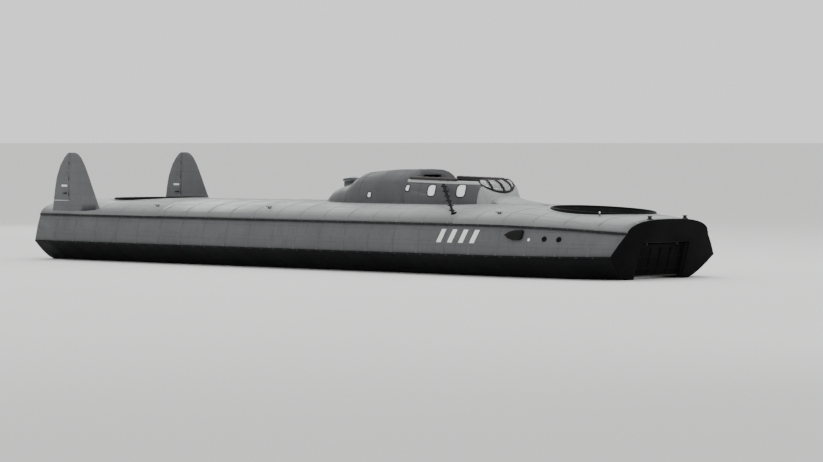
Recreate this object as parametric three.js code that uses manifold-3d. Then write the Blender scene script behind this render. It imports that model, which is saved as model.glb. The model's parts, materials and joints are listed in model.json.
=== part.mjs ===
// An all-metal air-cushion boat of the 1930s: two floats under an arched deck, a tunnel between
// them closed at bow and stern by hinged flaps, an upright engine and airscrew in a well at each
// end, louvre vanes under the wells, a streamlined cabin with an open cockpit, and two fins.
//
// Millimetres. +X is the bow, +Y is port, +Z is up. The origin is on the ground, under the middle.

import * as THREE from "three";
import { mergeVertices } from "three/addons/utils/BufferGeometryUtils.js";
import Module from "manifold-3d";

const wasm = await Module();
wasm.setup();

// Driving dimensions of the hull

const HALF_LENGTH = 12000;
const CHINE_HALF_BEAM = 2675;
const RAIL_HALF_BEAM = 2450;
const RAIL_Z = 1410;
const CHINE_Z = 574;
const CROWN_Z = 1950;
const TUNNEL_ROOF_Z = 1000;
const TUNNEL_HALF_WIDTH = 1500;
const KEEL_INSET = 40;
const KEEL_SOLE_WIDTH = 250;
const FASCIA_THICK = 40;
const GAP = 0.4;
const SIDES = ["port", "starboard"];
const sideSign = (side) => (side === "port" ? 1 : -1);

// How the lines draw in at the bow, the stern and the tunnel's mouth

const BOW_TAPER_X = 7000;
const BOW_CHINE_IN = 560;
const BOW_RAIL_IN = 820;
const BOW_RAIL_DROP = 170;
const BOW_CHINE_LIFT = 46;
const STERN_TAPER_X = -9000;
const STERN_IN = 140;
const CROWN_BOW_X = 6300;
const CROWN_BOW_DROP = 330;
const CROWN_STERN_X = -2000;
const CROWN_STERN_DROP = 90;
const MOUTH_TAPER_X = 9570;
const MOUTH_TAPER_END_X = 11700;
const MOUTH_IN = 550;
const BOW_RAKE = 0.3;
const BOW_TOP_Z = CROWN_Z - CROWN_BOW_DROP;

// Wells, engines, airscrews and vanes

const DUCT_SIDES = 36;
const DUCT_OUTER_R = 1450;
const DUCT_INNER_R = 1385;
const DUCT_THROAT_R = 1200;
const DUCT_NECK_TOP_Z = 1150;
const DUCT_CURVE_TOP_Z = 1480;
const WELL_CUT_LOW_Z = 500;
const WELL_CUT_TOP_Z = 2500;
const RIM_TUBE_R = 28;
const RIM_R = 1415;
const FAN_R = 1340;
const FAN_BLADES = 3;
const HUB_R = 165;
const CRANKCASE_R = 330;
const CYLINDERS = 9;
const CYLINDER_TIP_R = 690;
const CYLINDER_R = 92;
const ENGINE_LEGS = 6;
const VANE_CHORD = 500;
const VANE_THICK = 44;
const VANE_HALF_SPAN = 1145;
const VANE_PITCH = 680;
const VANES = 3;
const VANE_PIVOT_Z = 620;
const VANE_PIN_R = 18;
const CHEEK_INNER_Y = 1155;
const CHEEK_OUTER_Y = 1205;

// Each well: its centre, the height and slope of its rim, and the height of its airscrew
const WELLS = {
  front: { x: 9570, rimZ: 1800, slope: -0.065, fanZ: 1560 },
  rear: { x: -8900, rimZ: 1905, slope: 0.012, fanZ: 1600 },
};

// Fins and rudders

const FIN_Y = 2300;
const RUDDER_HINGE_X = -10540;
const FIN_FOOT_Z = 1500;
const FIN_TOP_Z = 3340;
const RUDDER_FOOT_Z = 1860;
const FIN_HALF_THICK = 75;

// Cabin and cockpit

const CABIN_BASE_Z = 1700;
const CABIN_HALF_WIDTH = 1200;
const SHELL_THICK = 45;
const BULKHEAD_X = 3000;
const RIM_AFT_Z = 2625;
const RIM_FORE_Z = 2570;
const RIM_FORE_X = 5450;
const SCREEN_FOOT_X = 5900;
const SCREEN_FOOT_Z = 2190;
const SCREEN_TOP_Z = 2635;
const NOSE_END_X = 7500;
const PIT_HALF_WIDTH = 880;
const PIT_AFT_X = 450;
const PIT_FORE_X = 5550;
const PIT_FLOOR_Z = 1150;

// Paints and other finishes

const PAINTS = {
  deckGrey: { color: 0xa9acab, roughness: 0.55, metalness: 0.2 },
  hullGrey: { color: 0x7c8082, roughness: 0.5, metalness: 0.2 },
  cabinGrey: { color: 0x5b5f61, roughness: 0.55, metalness: 0.2 },
  bowBlack: { color: 0x17181a, roughness: 0.5, metalness: 0.1 },
  railDark: { color: 0x26282a, roughness: 0.6, metalness: 0.2 },
  engineDark: { color: 0x3a3b3d, roughness: 0.45, metalness: 0.7 },
  bladeMetal: { color: 0x6f7275, roughness: 0.3, metalness: 0.9 },
  leather: { color: 0x33241b, roughness: 0.7, metalness: 0.0 },
  glass: { color: 0xdfe6e8, roughness: 0.05, metalness: 0.0 },
  rubber: { color: 0x1c1c1d, roughness: 0.85, metalness: 0.0 },
};

const craft = new THREE.Group();

/** Adds a solid to the craft as one named mesh. */
function addPart(name, body, paint) {
  const mesh = new THREE.Mesh(geometryOf(body), new THREE.MeshStandardMaterial(PAINTS[paint]));
  mesh.name = name;
  craft.add(mesh);
}

// Solids and how they join

/** A closed geometry as a solid, its faces turned outward. */
function solidOf(geometry) {
  const bare = geometry.clone();
  bare.deleteAttribute("normal");
  bare.deleteAttribute("uv");
  const merged = mergeVertices(bare, 1e-3);
  const triVerts = new Uint32Array(merged.index.array);
  const vertProperties = new Float32Array(merged.attributes.position.array);
  if (signedVolume(vertProperties, triVerts) < 0) {
    for (let i = 0; i < triVerts.length; i += 3) {
      [triVerts[i + 1], triVerts[i + 2]] = [triVerts[i + 2], triVerts[i + 1]];
    }
  }
  return new wasm.Manifold(new wasm.Mesh({ numProp: 3, vertProperties, triVerts }));
}

function signedVolume(positions, triangles) {
  const corner = (i) => new THREE.Vector3().fromArray(positions, 3 * triangles[i]);
  let six = 0;
  for (let i = 0; i < triangles.length; i += 3) {
    six += corner(i).dot(corner(i + 1).cross(corner(i + 2)));
  }
  return six;
}

function geometryOf(body) {
  const { numProp, vertProperties, triVerts } = body.getMesh();
  const count = vertProperties.length / numProp;
  const positions = new Float32Array(3 * count);
  for (let i = 0; i < count; i += 1) {
    positions.set(vertProperties.subarray(numProp * i, numProp * i + 3), 3 * i);
  }
  const geometry = new THREE.BufferGeometry();
  geometry.setAttribute("position", new THREE.BufferAttribute(positions, 3));
  geometry.setIndex(new THREE.BufferAttribute(triVerts, 1));
  return geometry;
}

const joined = (bodies) => bodies.reduce((sum, body) => sum.add(body));

/** The largest of a solid's separate bodies, once a cut has left slivers. */
const largest = (body) =>
  body.decompose().reduce((most, one) => (one.volume() > most.volume() ? one : most));

/** A body through closed rings of points, with flat ends. The ends are cut into triangles as
 * they look along the given axis. */
function loft(rings, axis = "x") {
  const count = rings[0].length;
  const flat = { x: (p) => [p.y, p.z], y: (p) => [p.x, p.z], z: (p) => [p.x, p.y] }[axis];
  const contour = rings[0].map((p) => new THREE.Vector2(...flat(p)));
  const sameTurn = (a, b, c) => {
    const corners = [contour[a], contour[b], contour[c]];
    return THREE.ShapeUtils.isClockWise(corners) === THREE.ShapeUtils.isClockWise(contour);
  };
  const last = count * (rings.length - 1);
  const index = [];
  for (const face of THREE.ShapeUtils.triangulateShape(contour, [])) {
    const [a, b, c] = sameTurn(...face) ? face : [face[0], face[2], face[1]];
    index.push(a, c, b, last + a, last + b, last + c);
  }
  for (let ring = 0; ring + 1 < rings.length; ring += 1) {
    for (let i = 0; i < count; i += 1) {
      const next = (i + 1) % count;
      const [a, b] = [ring * count + i, ring * count + next];
      const [c, d] = [a + count, b + count];
      index.push(a, b, d, a, d, c);
    }
  }
  const geometry = new THREE.BufferGeometry();
  const positions = new Float32Array(rings.flat().flatMap((p) => [p.x, p.y, p.z]));
  geometry.setAttribute("position", new THREE.BufferAttribute(positions, 3));
  geometry.setIndex(index);
  return solidOf(geometry);
}

/** A box between two corners. */
function boxSolid(low, high) {
  const size = high.map((value, i) => value - low[i]);
  const geometry = new THREE.BoxGeometry(...size);
  geometry.translate(...low.map((value, i) => value + size[i] / 2));
  return solidOf(geometry);
}

/** A round bar along an axis ("x", "y" or "z") from one place to another on that axis. */
function barSolid(radius, from, to, axis, place, segments = 16) {
  const geometry = new THREE.CylinderGeometry(radius, radius, to - from, segments);
  if (axis === "x") geometry.rotateZ(Math.PI / 2);
  if (axis === "z") geometry.rotateX(Math.PI / 2);
  const middle = { x: [1, 0, 0], y: [0, 1, 0], z: [0, 0, 1] }[axis];
  const shift = middle.map((share, i) => share * (from + to) * 0.5 + place[i]);
  geometry.translate(...shift);
  return solidOf(geometry);
}

/** A round bar between two points, which may narrow. */
function strutSolid(start, end, startR, endR = startR, segments = 8) {
  const from = new THREE.Vector3(...start);
  const to = new THREE.Vector3(...end);
  const geometry = new THREE.CylinderGeometry(endR, startR, from.distanceTo(to), segments);
  const turn = new THREE.Quaternion();
  turn.setFromUnitVectors(new THREE.Vector3(0, 1, 0), to.clone().sub(from).normalize());
  geometry.applyQuaternion(turn);
  geometry.translate(...from.add(to).multiplyScalar(0.5).toArray());
  return solidOf(geometry);
}

/** A body of revolution about a vertical axis through (x, y), from [radius, z] pairs. */
function turnedSolid(profile, x, y, segments = DUCT_SIDES) {
  const outline = profile.map(([radius, z]) => new THREE.Vector2(radius, z));
  const geometry = new THREE.LatheGeometry(outline, segments);
  geometry.rotateX(Math.PI / 2);
  geometry.translate(x, y, 0);
  return solidOf(geometry);
}

/** A closed outline of [x, z] pairs made into a plate between two values of y. */
function sideProfileSolid(outline, lowY, highY) {
  const ring = (y) => outline.map(([x, z]) => new THREE.Vector3(x, y, z));
  return loft([ring(lowY), ring(highY)], "y");
}

// The hull's lines, as functions of the station x

const share = (x, start, end) => Math.min(1, Math.max(0, (x - start) / (end - start)));
const bowShare = (x) => share(x, BOW_TAPER_X, HALF_LENGTH);
const sternShare = (x) => share(x, STERN_TAPER_X, -HALF_LENGTH);

const sternIn = (x) => STERN_IN * sternShare(x) ** 2;
const chineY = (x) => CHINE_HALF_BEAM - BOW_CHINE_IN * bowShare(x) ** 2 - sternIn(x);
const chineZ = (x) => CHINE_Z + BOW_CHINE_LIFT * bowShare(x) ** 2;
const railY = (x) => RAIL_HALF_BEAM - BOW_RAIL_IN * bowShare(x) ** 2 - sternIn(x);
const railZ = (x) => RAIL_Z - BOW_RAIL_DROP * bowShare(x) ** 2;
const crownZ = (x) =>
  CROWN_Z -
  CROWN_BOW_DROP * share(x, CROWN_BOW_X, HALF_LENGTH) ** 1.5 -
  CROWN_STERN_DROP * share(x, CROWN_STERN_X, -HALF_LENGTH) ** 2;
const tunnelY = (x) =>
  TUNNEL_HALF_WIDTH - MOUTH_IN * share(x, MOUTH_TAPER_X, MOUTH_TAPER_END_X) ** 1.5;
const keelInnerY = (x) => tunnelY(x) + KEEL_INSET;
const keelOuterY = (x) => keelInnerY(x) + KEEL_SOLE_WIDTH;

/** A point of the hull at a station, leaned back with the raked bow. */
const hullPoint = (x, y, z) =>
  new THREE.Vector3(x - BOW_RAKE * (BOW_TOP_Z - z) * bowShare(x) ** 3, y, z);

const ARCH_STEPS = 16;

/** The deck's arch from starboard to port, a rounded-square curve. */
function archPoints(x) {
  const points = [];
  for (let i = 0; i <= ARCH_STEPS; i += 1) {
    const angle = Math.PI * (1 - i / ARCH_STEPS);
    const across = Math.sign(Math.cos(angle)) * Math.abs(Math.cos(angle)) ** (2 / 3);
    const up = Math.sin(angle);
    points.push([railY(x) * across, railZ(x) + (crownZ(x) - railZ(x)) * up]);
  }
  return points;
}

/** The deck's height at a place near the station x. */
function deckZ(x, y) {
  const cosine = Math.min(1, Math.abs(y) / railY(x)) ** 1.5;
  return railZ(x) + (crownZ(x) - railZ(x)) * Math.sqrt(1 - cosine * cosine);
}

const BOTTOM_STEPS = 4;
const SIDE_BULGE = 18;

/** The outside of a float from the rail down to the keel's sole, as [y, z] on the port side. */
function floatOutside(x) {
  const rail = [railY(x), railZ(x)];
  const chine = [chineY(x), chineZ(x)];
  const middle = [(rail[0] + chine[0]) / 2 + SIDE_BULGE, (rail[1] + chine[1]) / 2];
  const points = [rail, middle, chine];
  for (let i = 1; i <= BOTTOM_STEPS; i += 1) {
    const t = i / BOTTOM_STEPS;
    points.push([chine[0] - (chine[0] - keelOuterY(x)) * t, chine[1] * (1 - t) ** 1.4]);
  }
  return points;
}

// Stations: few where the hull runs straight, more where it draws in
const STERN_FACE_X = -HALF_LENGTH + FASCIA_THICK + GAP;
const BOW_FACE_X = HALF_LENGTH - FASCIA_THICK - GAP;
const DECK_JOIN_X = 6200;
const AFT_STATIONS = [STERN_FACE_X, -11100, -10100, -9000, -DECK_JOIN_X - GAP];
const MID_STATIONS = [-DECK_JOIN_X, -2000, 2000, DECK_JOIN_X];
const FORE_STATIONS = [
  DECK_JOIN_X + GAP, 7000, 8000, 8900, 9570, 10200, 10800, 11300, 11700, BOW_FACE_X,
];
const HULL_STATIONS = [...AFT_STATIONS, ...MID_STATIONS, ...FORE_STATIONS];

/** A hull body from a function that gives a section's [y, z] pairs at a station. The mirrored
 * side's sections run the other way round, so that faces which meet are split alike. */
function hullLoft(stations, section, sign = 1) {
  const ring = (x) => section(x).map(([y, z]) => hullPoint(x, sign * y, z));
  return loft(stations.map((x) => (sign > 0 ? ring(x) : ring(x).reverse())));
}

const deckSection = (x) => [
  ...archPoints(x),
  [tunnelY(x), TUNNEL_ROOF_Z],
  [-tunnelY(x), TUNNEL_ROOF_Z],
];
const floatSection = (x) => [
  [keelInnerY(x), 0],
  ...floatOutside(x).slice(1).reverse(),
  [railY(x), railZ(x) - GAP],
  [tunnelY(x), TUNNEL_ROOF_Z - GAP],
];

function endPlateSection(x) {
  const outside = floatOutside(x).slice(1);
  const starboard = outside.map(([y, z]) => [-y, z]).reverse();
  return [
    ...archPoints(x),
    ...outside,
    [keelInnerY(x), 0],
    [tunnelY(x), TUNNEL_ROOF_Z],
    [-tunnelY(x), TUNNEL_ROOF_Z],
    [-keelInnerY(x), 0],
    ...starboard,
  ];
}

const RAIL_HALF_HEIGHT = 28;
const RAIL_STANDS_OUT = 45;

function rubRailSection(x) {
  const [y, z] = [railY(x), railZ(x)];
  const slope = (chineY(x) - y + 2 * SIDE_BULGE) / (z - chineZ(x));
  const out = slope * RAIL_HALF_HEIGHT;
  return [
    [y + 1, z + RAIL_HALF_HEIGHT],
    [y + RAIL_STANDS_OUT, z + RAIL_HALF_HEIGHT],
    [y + RAIL_STANDS_OUT + out, z - RAIL_HALF_HEIGHT],
    [y + out + 3, z - RAIL_HALF_HEIGHT],
    [y + 1, z],
  ];
}

const CHINE_RAIL_OUT = 32;

function chineRailSection(x) {
  const [y, z] = [chineY(x), chineZ(x)];
  const sideIn = (y - railY(x) - 2 * SIDE_BULGE) / (railZ(x) - z);
  const under = 14;
  const [bottomY, bottomZ] = floatOutside(x)[3];
  const inUnder = (under * (y - bottomY)) / (z - bottomZ);
  return [
    [y - sideIn * 30 + 3, z + 30],
    [y + CHINE_RAIL_OUT * 0.7, z + 30],
    [y + CHINE_RAIL_OUT, z - under],
    [y - inUnder + 2, z - under],
    [y + 1, z],
  ];
}

/** What stands on the deck is cut by this, the deck's arch raised by the gap. */
const deckCutter = hullLoft(
  [-11900, -11100, -10100, -9000, -DECK_JOIN_X, ...MID_STATIONS.slice(1, 3),
    ...FORE_STATIONS.slice(0, -1), BOW_FACE_X],
  deckSection,
).translate([0, 0, GAP]);

function hull() {
  const wellHole = (well) =>
    barSolid(DUCT_OUTER_R, WELL_CUT_LOW_Z, WELL_CUT_TOP_Z, "z", [well.x, 0, 0], DUCT_SIDES);
  const pit = boxSolid(
    [PIT_AFT_X, -PIT_HALF_WIDTH, PIT_FLOOR_Z],
    [PIT_FORE_X, PIT_HALF_WIDTH, WELL_CUT_TOP_Z],
  );
  addPart(
    "deck_fore",
    hullLoft(FORE_STATIONS, deckSection).subtract(wellHole(WELLS.front)),
    "deckGrey",
  );
  addPart("deck_mid", hullLoft(MID_STATIONS, deckSection).subtract(pit), "deckGrey");
  addPart(
    "deck_aft",
    hullLoft(AFT_STATIONS, deckSection).subtract(wellHole(WELLS.rear)),
    "deckGrey",
  );
  for (const side of SIDES) {
    const sign = sideSign(side);
    addPart(`float_${side}`, hullLoft(HULL_STATIONS, floatSection, sign), "hullGrey");
    addPart(`rub_rail_${side}`, hullLoft(HULL_STATIONS, rubRailSection, sign), "railDark");
    addPart(`chine_rail_${side}`, hullLoft(HULL_STATIONS, chineRailSection, sign), "hullGrey");
  }
  const bowStations = [HALF_LENGTH - FASCIA_THICK, HALF_LENGTH];
  const sternStations = [-HALF_LENGTH, -HALF_LENGTH + FASCIA_THICK];
  addPart("bow_fascia", hullLoft(bowStations, endPlateSection), "bowBlack");
  addPart("stern_transom", hullLoft(sternStations, endPlateSection), "hullGrey");
}

// Wells: the duct, its rim, the engine and the airscrew

function duct(well) {
  const profile = [
    [DUCT_OUTER_R - GAP, TUNNEL_ROOF_Z],
    [DUCT_OUTER_R - GAP, WELL_CUT_TOP_Z],
    [DUCT_INNER_R, WELL_CUT_TOP_Z],
    [DUCT_INNER_R, DUCT_CURVE_TOP_Z],
  ];
  const curveSteps = 4;
  for (let i = 1; i <= curveSteps; i += 1) {
    const angle = (Math.PI * i) / curveSteps;
    const t = (1 - Math.cos(angle)) / 2;
    profile.push([
      DUCT_INNER_R + (DUCT_THROAT_R - DUCT_INNER_R) * t,
      DUCT_CURVE_TOP_Z + ((DUCT_NECK_TOP_Z - DUCT_CURVE_TOP_Z) * i) / curveSteps,
    ]);
  }
  profile.push([DUCT_THROAT_R, TUNNEL_ROOF_Z], [DUCT_OUTER_R - GAP, TUNNEL_ROOF_Z]);
  const reach = 2000;
  const rimAt = (x) => well.rimZ + well.slope * (x - well.x);
  const above = sideProfileSolid(
    [
      [well.x - reach, rimAt(well.x - reach)],
      [well.x + reach, rimAt(well.x + reach)],
      [well.x + reach, 3000],
      [well.x - reach, 3000],
    ],
    -reach,
    reach,
  );
  return turnedSolid(profile, well.x, 0).subtract(above).add(rolledRim(well));
}

/** The rolled rim that stands on the duct's slanting top. */
function rolledRim(well) {
  const geometry = new THREE.TorusGeometry(RIM_R, RIM_TUBE_R, 6, DUCT_SIDES);
  geometry.rotateY(-Math.atan(well.slope));
  geometry.translate(well.x, 0, well.rimZ + RIM_TUBE_R * 0.6);
  return solidOf(geometry);
}

/** Sections of a blade: distance from the axis, chord, thickness and twist in degrees */
const BLADE_SECTIONS = [
  { r: 120, chord: 110, thick: 90, twist: 62 },
  { r: 380, chord: 190, thick: 46, twist: 45 },
  { r: 720, chord: 235, thick: 32, twist: 30 },
  { r: 1060, chord: 215, thick: 22, twist: 22 },
  { r: 1270, chord: 150, thick: 16, twist: 18 },
  { r: FAN_R, chord: 70, thick: 12, twist: 16 },
];
const BLADE_OUTLINE = [
  [0.5, 0], [0.3, 0.42], [-0.05, 0.5], [-0.35, 0.3], [-0.5, 0], [-0.35, -0.12], [0, -0.2],
  [0.35, -0.14],
];

function blade(turn, z) {
  const rings = BLADE_SECTIONS.map(({ r, chord, thick, twist }) => {
    const angle = THREE.MathUtils.degToRad(twist);
    return BLADE_OUTLINE.map(([along, up]) => {
      const [u, v] = [along * chord, up * thick];
      const across = u * Math.cos(angle) - v * Math.sin(angle);
      const height = u * Math.sin(angle) + v * Math.cos(angle);
      return new THREE.Vector3(r, across, z + height);
    });
  });
  return loft(rings).rotate([0, 0, turn]);
}

function fan(well) {
  const z = well.fanZ;
  const spinner = [
    [0, z - 90], [HUB_R, z - 90], [HUB_R, z + 40], [HUB_R * 0.87, z + 110],
    [HUB_R * 0.5, z + 165], [0, z + 185],
  ];
  const bodies = [turnedSolid(spinner, 0, 0, 24)];
  for (let i = 0; i < FAN_BLADES; i += 1) {
    bodies.push(blade((360 * i) / FAN_BLADES + 20, z));
  }
  return joined(bodies).translate([well.x, 0, 0]);
}

const CYLINDER_Z_BELOW_FAN = 330;
const ENGINE_TOP_BELOW_FAN = 96;

/** One finned cylinder lying along +X from the crankcase out. */
function engineCylinder(z) {
  const fins = 3;
  const barrelR = CYLINDER_R * 0.72;
  const profile = [[0, CRANKCASE_R * 0.8], [barrelR, CRANKCASE_R * 0.8]];
  const firstFin = CRANKCASE_R + 60;
  const pitch = (CYLINDER_TIP_R - 90 - firstFin) / fins;
  for (let i = 0; i < fins; i += 1) {
    const at = firstFin + i * pitch;
    profile.push([barrelR, at], [CYLINDER_R, at], [CYLINDER_R, at + 30], [barrelR, at + 30]);
  }
  profile.push([barrelR, CYLINDER_TIP_R - 80], [CYLINDER_R, CYLINDER_TIP_R - 80]);
  profile.push([CYLINDER_R * 0.8, CYLINDER_TIP_R], [0, CYLINDER_TIP_R]);
  const geometry = new THREE.LatheGeometry(
    profile.map(([radius, along]) => new THREE.Vector2(radius, along)),
    6,
  );
  geometry.rotateZ(-Math.PI / 2);
  geometry.translate(0, 0, z);
  return solidOf(geometry);
}

function engine(well) {
  const top = well.fanZ - ENGINE_TOP_BELOW_FAN;
  const cylinderZ = well.fanZ - CYLINDER_Z_BELOW_FAN;
  const legZ = DUCT_NECK_TOP_Z - 100;
  const crankcase = [
    [0, top], [85, top], [110, top - 70], [210, top - 130], [CRANKCASE_R, cylinderZ + 90],
    [CRANKCASE_R, cylinderZ - 110], [270, legZ - 40], [150, legZ - 150], [0, legZ - 170],
  ];
  const bodies = [turnedSolid(crankcase, 0, 0, 18)];
  for (let i = 0; i < CYLINDERS; i += 1) {
    bodies.push(engineCylinder(cylinderZ).rotate([0, 0, (360 * i) / CYLINDERS]));
  }
  const leg = boxSolid([200, -28, legZ - 45], [DUCT_THROAT_R + 50, 28, legZ + 45]);
  for (let i = 0; i < ENGINE_LEGS; i += 1) {
    bodies.push(leg.rotate([0, 0, (360 * i) / ENGINE_LEGS + 30]));
  }
  const throatR = DUCT_THROAT_R - GAP;
  const throat = barSolid(throatR, WELL_CUT_LOW_Z, WELL_CUT_TOP_Z, "z", [0, 0, 0], DUCT_SIDES);
  return joined(bodies).intersect(throat).translate([well.x, 0, 0]);
}

// Louvre vanes under each well, in a frame that hangs from the tunnel's roof

const FRAME_HALF_LENGTH = 1060;
const FRAME_HOLE_R = 26;
const FRAME_FOOT_DROP = 80;
const CHEEK_SLANT = 180;
const TIE_HALF = 30;
const TIE_HEIGHT = 90;
const vaneX = (well, index) => well.x + (index - (VANES - 1) / 2) * VANE_PITCH;

function vaneFrame(well) {
  const top = TUNNEL_ROOF_Z - GAP;
  const bodies = [];
  for (const sign of [-1, 1]) {
    const [low, high] = [sign * CHEEK_INNER_Y, sign * CHEEK_OUTER_Y].sort((a, b) => a - b);
    bodies.push(
      sideProfileSolid(
        [
          [well.x - FRAME_HALF_LENGTH, top],
          [well.x + FRAME_HALF_LENGTH, top],
          [well.x + FRAME_HALF_LENGTH - CHEEK_SLANT, VANE_PIVOT_Z - FRAME_FOOT_DROP],
          [well.x - FRAME_HALF_LENGTH + CHEEK_SLANT, VANE_PIVOT_Z - FRAME_FOOT_DROP],
        ],
        low,
        high,
      ),
    );
    const tieX = well.x + sign * (FRAME_HALF_LENGTH - TIE_HALF);
    const tieY = CHEEK_INNER_Y + 20;
    bodies.push(
      boxSolid([tieX - TIE_HALF, -tieY, top - TIE_HEIGHT], [tieX + TIE_HALF, tieY, top]),
    );
  }
  let frame = joined(bodies);
  for (let i = 0; i < VANES; i += 1) {
    const place = [vaneX(well, i), 0, VANE_PIVOT_Z];
    frame = frame.subtract(barSolid(FRAME_HOLE_R, -1400, 1400, "y", place, 12));
  }
  return frame;
}

function vane(well, index) {
  const x = vaneX(well, index);
  const halfChord = VANE_CHORD / 2;
  const outline = [
    [0, 1], [0.35, 0.75], [0.5, 0.25], [0.5, -0.2], [0.22, -0.75], [0, -1], [-0.22, -0.75],
    [-0.5, -0.2], [-0.5, 0.25], [-0.35, 0.75],
  ];
  const plate = outline.map(([u, v]) => [x + u * VANE_THICK, VANE_PIVOT_Z + v * halfChord]);
  const pin = barSolid(
    VANE_PIN_R, -CHEEK_OUTER_Y + 4, CHEEK_OUTER_Y - 4, "y", [x, 0, VANE_PIVOT_Z], 10,
  );
  return sideProfileSolid(plate, -VANE_HALF_SPAN, VANE_HALF_SPAN).add(pin);
}

function wells() {
  for (const [name, well] of Object.entries(WELLS)) {
    addPart(`duct_${name}`, duct(well), "hullGrey");
    addPart(`engine_${name}`, engine(well), "engineDark");
    addPart(`fan_${name}`, fan(well), "bladeMetal");
    addPart(`vane_frame_${name}`, vaneFrame(well), "hullGrey");
    for (let i = 0; i < VANES; i += 1) {
      addPart(`vane_${name}_${i + 1}`, vane(well, i), "hullGrey");
    }
  }
}

// Flaps that close the tunnel's two ends

const FLAP_HINGE_Z = 940;
const FLAP_HINGE_R = 28;
const FLAP_THICK = 36;
const FLAP_FOOT_Z = 90;
const FLAP_BRACKET_Y = 620;

/** A flap about its hinge at x, leaning back by the given rise, with two brackets' gaps. */
function flap(x, halfWidth, lean) {
  const footX = x - lean * (FLAP_HINGE_Z - FLAP_FOOT_Z);
  const half = FLAP_THICK / 2;
  const plate = sideProfileSolid(
    [
      [x - half, FLAP_HINGE_Z], [x + half, FLAP_HINGE_Z],
      [footX + half, FLAP_FOOT_Z], [footX - half, FLAP_FOOT_Z],
    ],
    -halfWidth,
    halfWidth,
  );
  const tube = barSolid(FLAP_HINGE_R, -halfWidth, halfWidth, "y", [x, 0, FLAP_HINGE_Z], 12);
  let body = plate.add(tube);
  for (const sign of [-1, 1]) {
    const y = sign * FLAP_BRACKET_Y;
    const slot = boxSolid([x - 60, y - 40, FLAP_HINGE_Z - 60], [x + 60, y + 40, 1100]);
    body = body.subtract(slot);
  }
  const pin = barSolid(12, -halfWidth + 5, halfWidth - 5, "y", [x, 0, FLAP_HINGE_Z], 10);
  return body.add(pin);
}

/** The beam under the tunnel's roof, with two lugs that the flap's pin runs in. */
function flapBeam(x, halfWidth) {
  const top = TUNNEL_ROOF_Z - GAP;
  let body = boxSolid([x - 40, -halfWidth, top - 22], [x + 40, halfWidth, top]);
  for (const sign of [-1, 1]) {
    const y = sign * FLAP_BRACKET_Y;
    body = body.add(boxSolid([x - 34, y - 30, FLAP_HINGE_Z - 34], [x + 34, y + 30, top]));
  }
  return body.subtract(barSolid(17, -1500, 1500, "y", [x, 0, FLAP_HINGE_Z], 12));
}

const BOW_FLAP_X = 11640;
const STERN_FLAP_X = -11890;
const BOW_FLAP_HALF_WIDTH = 930;
const STERN_FLAP_HALF_WIDTH = 1480;

function flaps() {
  addPart("bow_flap", flap(BOW_FLAP_X, BOW_FLAP_HALF_WIDTH, BOW_RAKE), "bowBlack");
  addPart("stern_flap", flap(STERN_FLAP_X, STERN_FLAP_HALF_WIDTH, 0), "hullGrey");
  addPart("bow_flap_beam", flapBeam(BOW_FLAP_X, BOW_FLAP_HALF_WIDTH), "railDark");
  addPart("stern_flap_beam", flapBeam(STERN_FLAP_X, STERN_FLAP_HALF_WIDTH), "railDark");
}

// Fins and rudders

/** The fin's outline: height, leading edge and trailing edge */
const FIN_STATIONS = [
  { z: FIN_FOOT_Z, lead: -9050, trail: -11400 },
  { z: 1870, lead: -9240, trail: -11340 },
  { z: 2300, lead: -9470, trail: -11260 },
  { z: 2600, lead: -9620, trail: -11180 },
  { z: 2950, lead: -9820, trail: -11010 },
  { z: 3180, lead: -9990, trail: -10820 },
  { z: 3290, lead: -10130, trail: -10690 },
  { z: FIN_TOP_Z, lead: -10280, trail: -10600 },
];
const FIN_OUTLINE = [[0, 0.08], [0.1, 0.62], [0.3, 1], [0.55, 0.85], [0.8, 0.45], [1, 0.06]];

/** A streamlined blade as a stack of level sections. */
function finBlade() {
  const rings = FIN_STATIONS.map(({ z, lead, trail }) => {
    const chord = lead - trail;
    const thick = FIN_HALF_THICK * (0.35 + (0.65 * chord) / 2350);
    const edge = (sign) =>
      FIN_OUTLINE.map(
        ([along, half]) => new THREE.Vector3(lead - along * chord, sign * half * thick, z),
      );
    return [...edge(1), ...edge(-1).reverse()];
  });
  return loft(rings, "z");
}

const HINGE_GAP = 14;
const KNUCKLE_ZS = [2020, 2520, 3000];
const KNUCKLE_HALF_HEIGHT = 35;
const KNUCKLE_CLEAR = 8;
const HINGE_TOP_Z = 3080;
const HINGE_PIN_R = 9;
const HINGE_HOLE_R = 14;
const HINGE_COLLAR_R = 22;
const HINGE_GROOVE_R = 30;
const FIN_BELOW_RUDDER = 12;
// Planes well clear of a fin, for the boxes that cut it
const CLEAR = { aftX: -13000, foreX: -8000, y: 400, lowZ: 0, topZ: 5000 };

/** A box that cuts the whole fin between two stations and two heights. */
const finBox = (fromX, toX, fromZ = CLEAR.lowZ, toZ = CLEAR.topZ) =>
  boxSolid([fromX, -CLEAR.y, fromZ], [toX, CLEAR.y, toZ]);

const NOSE_FLAT_HALF = 16;
const NOSE_BEVEL = 0.75;

/** What is cut from one side of the rudder's leading edge so that it can turn. */
function noseBevel(sign) {
  const reach = CLEAR.y - NOSE_FLAT_HALF;
  const plan = (z) => [
    new THREE.Vector3(RUDDER_HINGE_X, sign * NOSE_FLAT_HALF, z),
    new THREE.Vector3(RUDDER_HINGE_X + 5, sign * CLEAR.y, z),
    new THREE.Vector3(RUDDER_HINGE_X - NOSE_BEVEL * reach, sign * CLEAR.y, z),
  ];
  return loft([plan(CLEAR.lowZ), plan(CLEAR.topZ)], "z");
}

/** The fin's tongue that the rudder's pin runs in, at one height. */
function hingeTongue(z) {
  const x = RUDDER_HINGE_X;
  const [low, high] = [z - KNUCKLE_HALF_HEIGHT, z + KNUCKLE_HALF_HEIGHT];
  return boxSolid([x - 22, -18, low], [x + 60, 18, high]);
}

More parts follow.
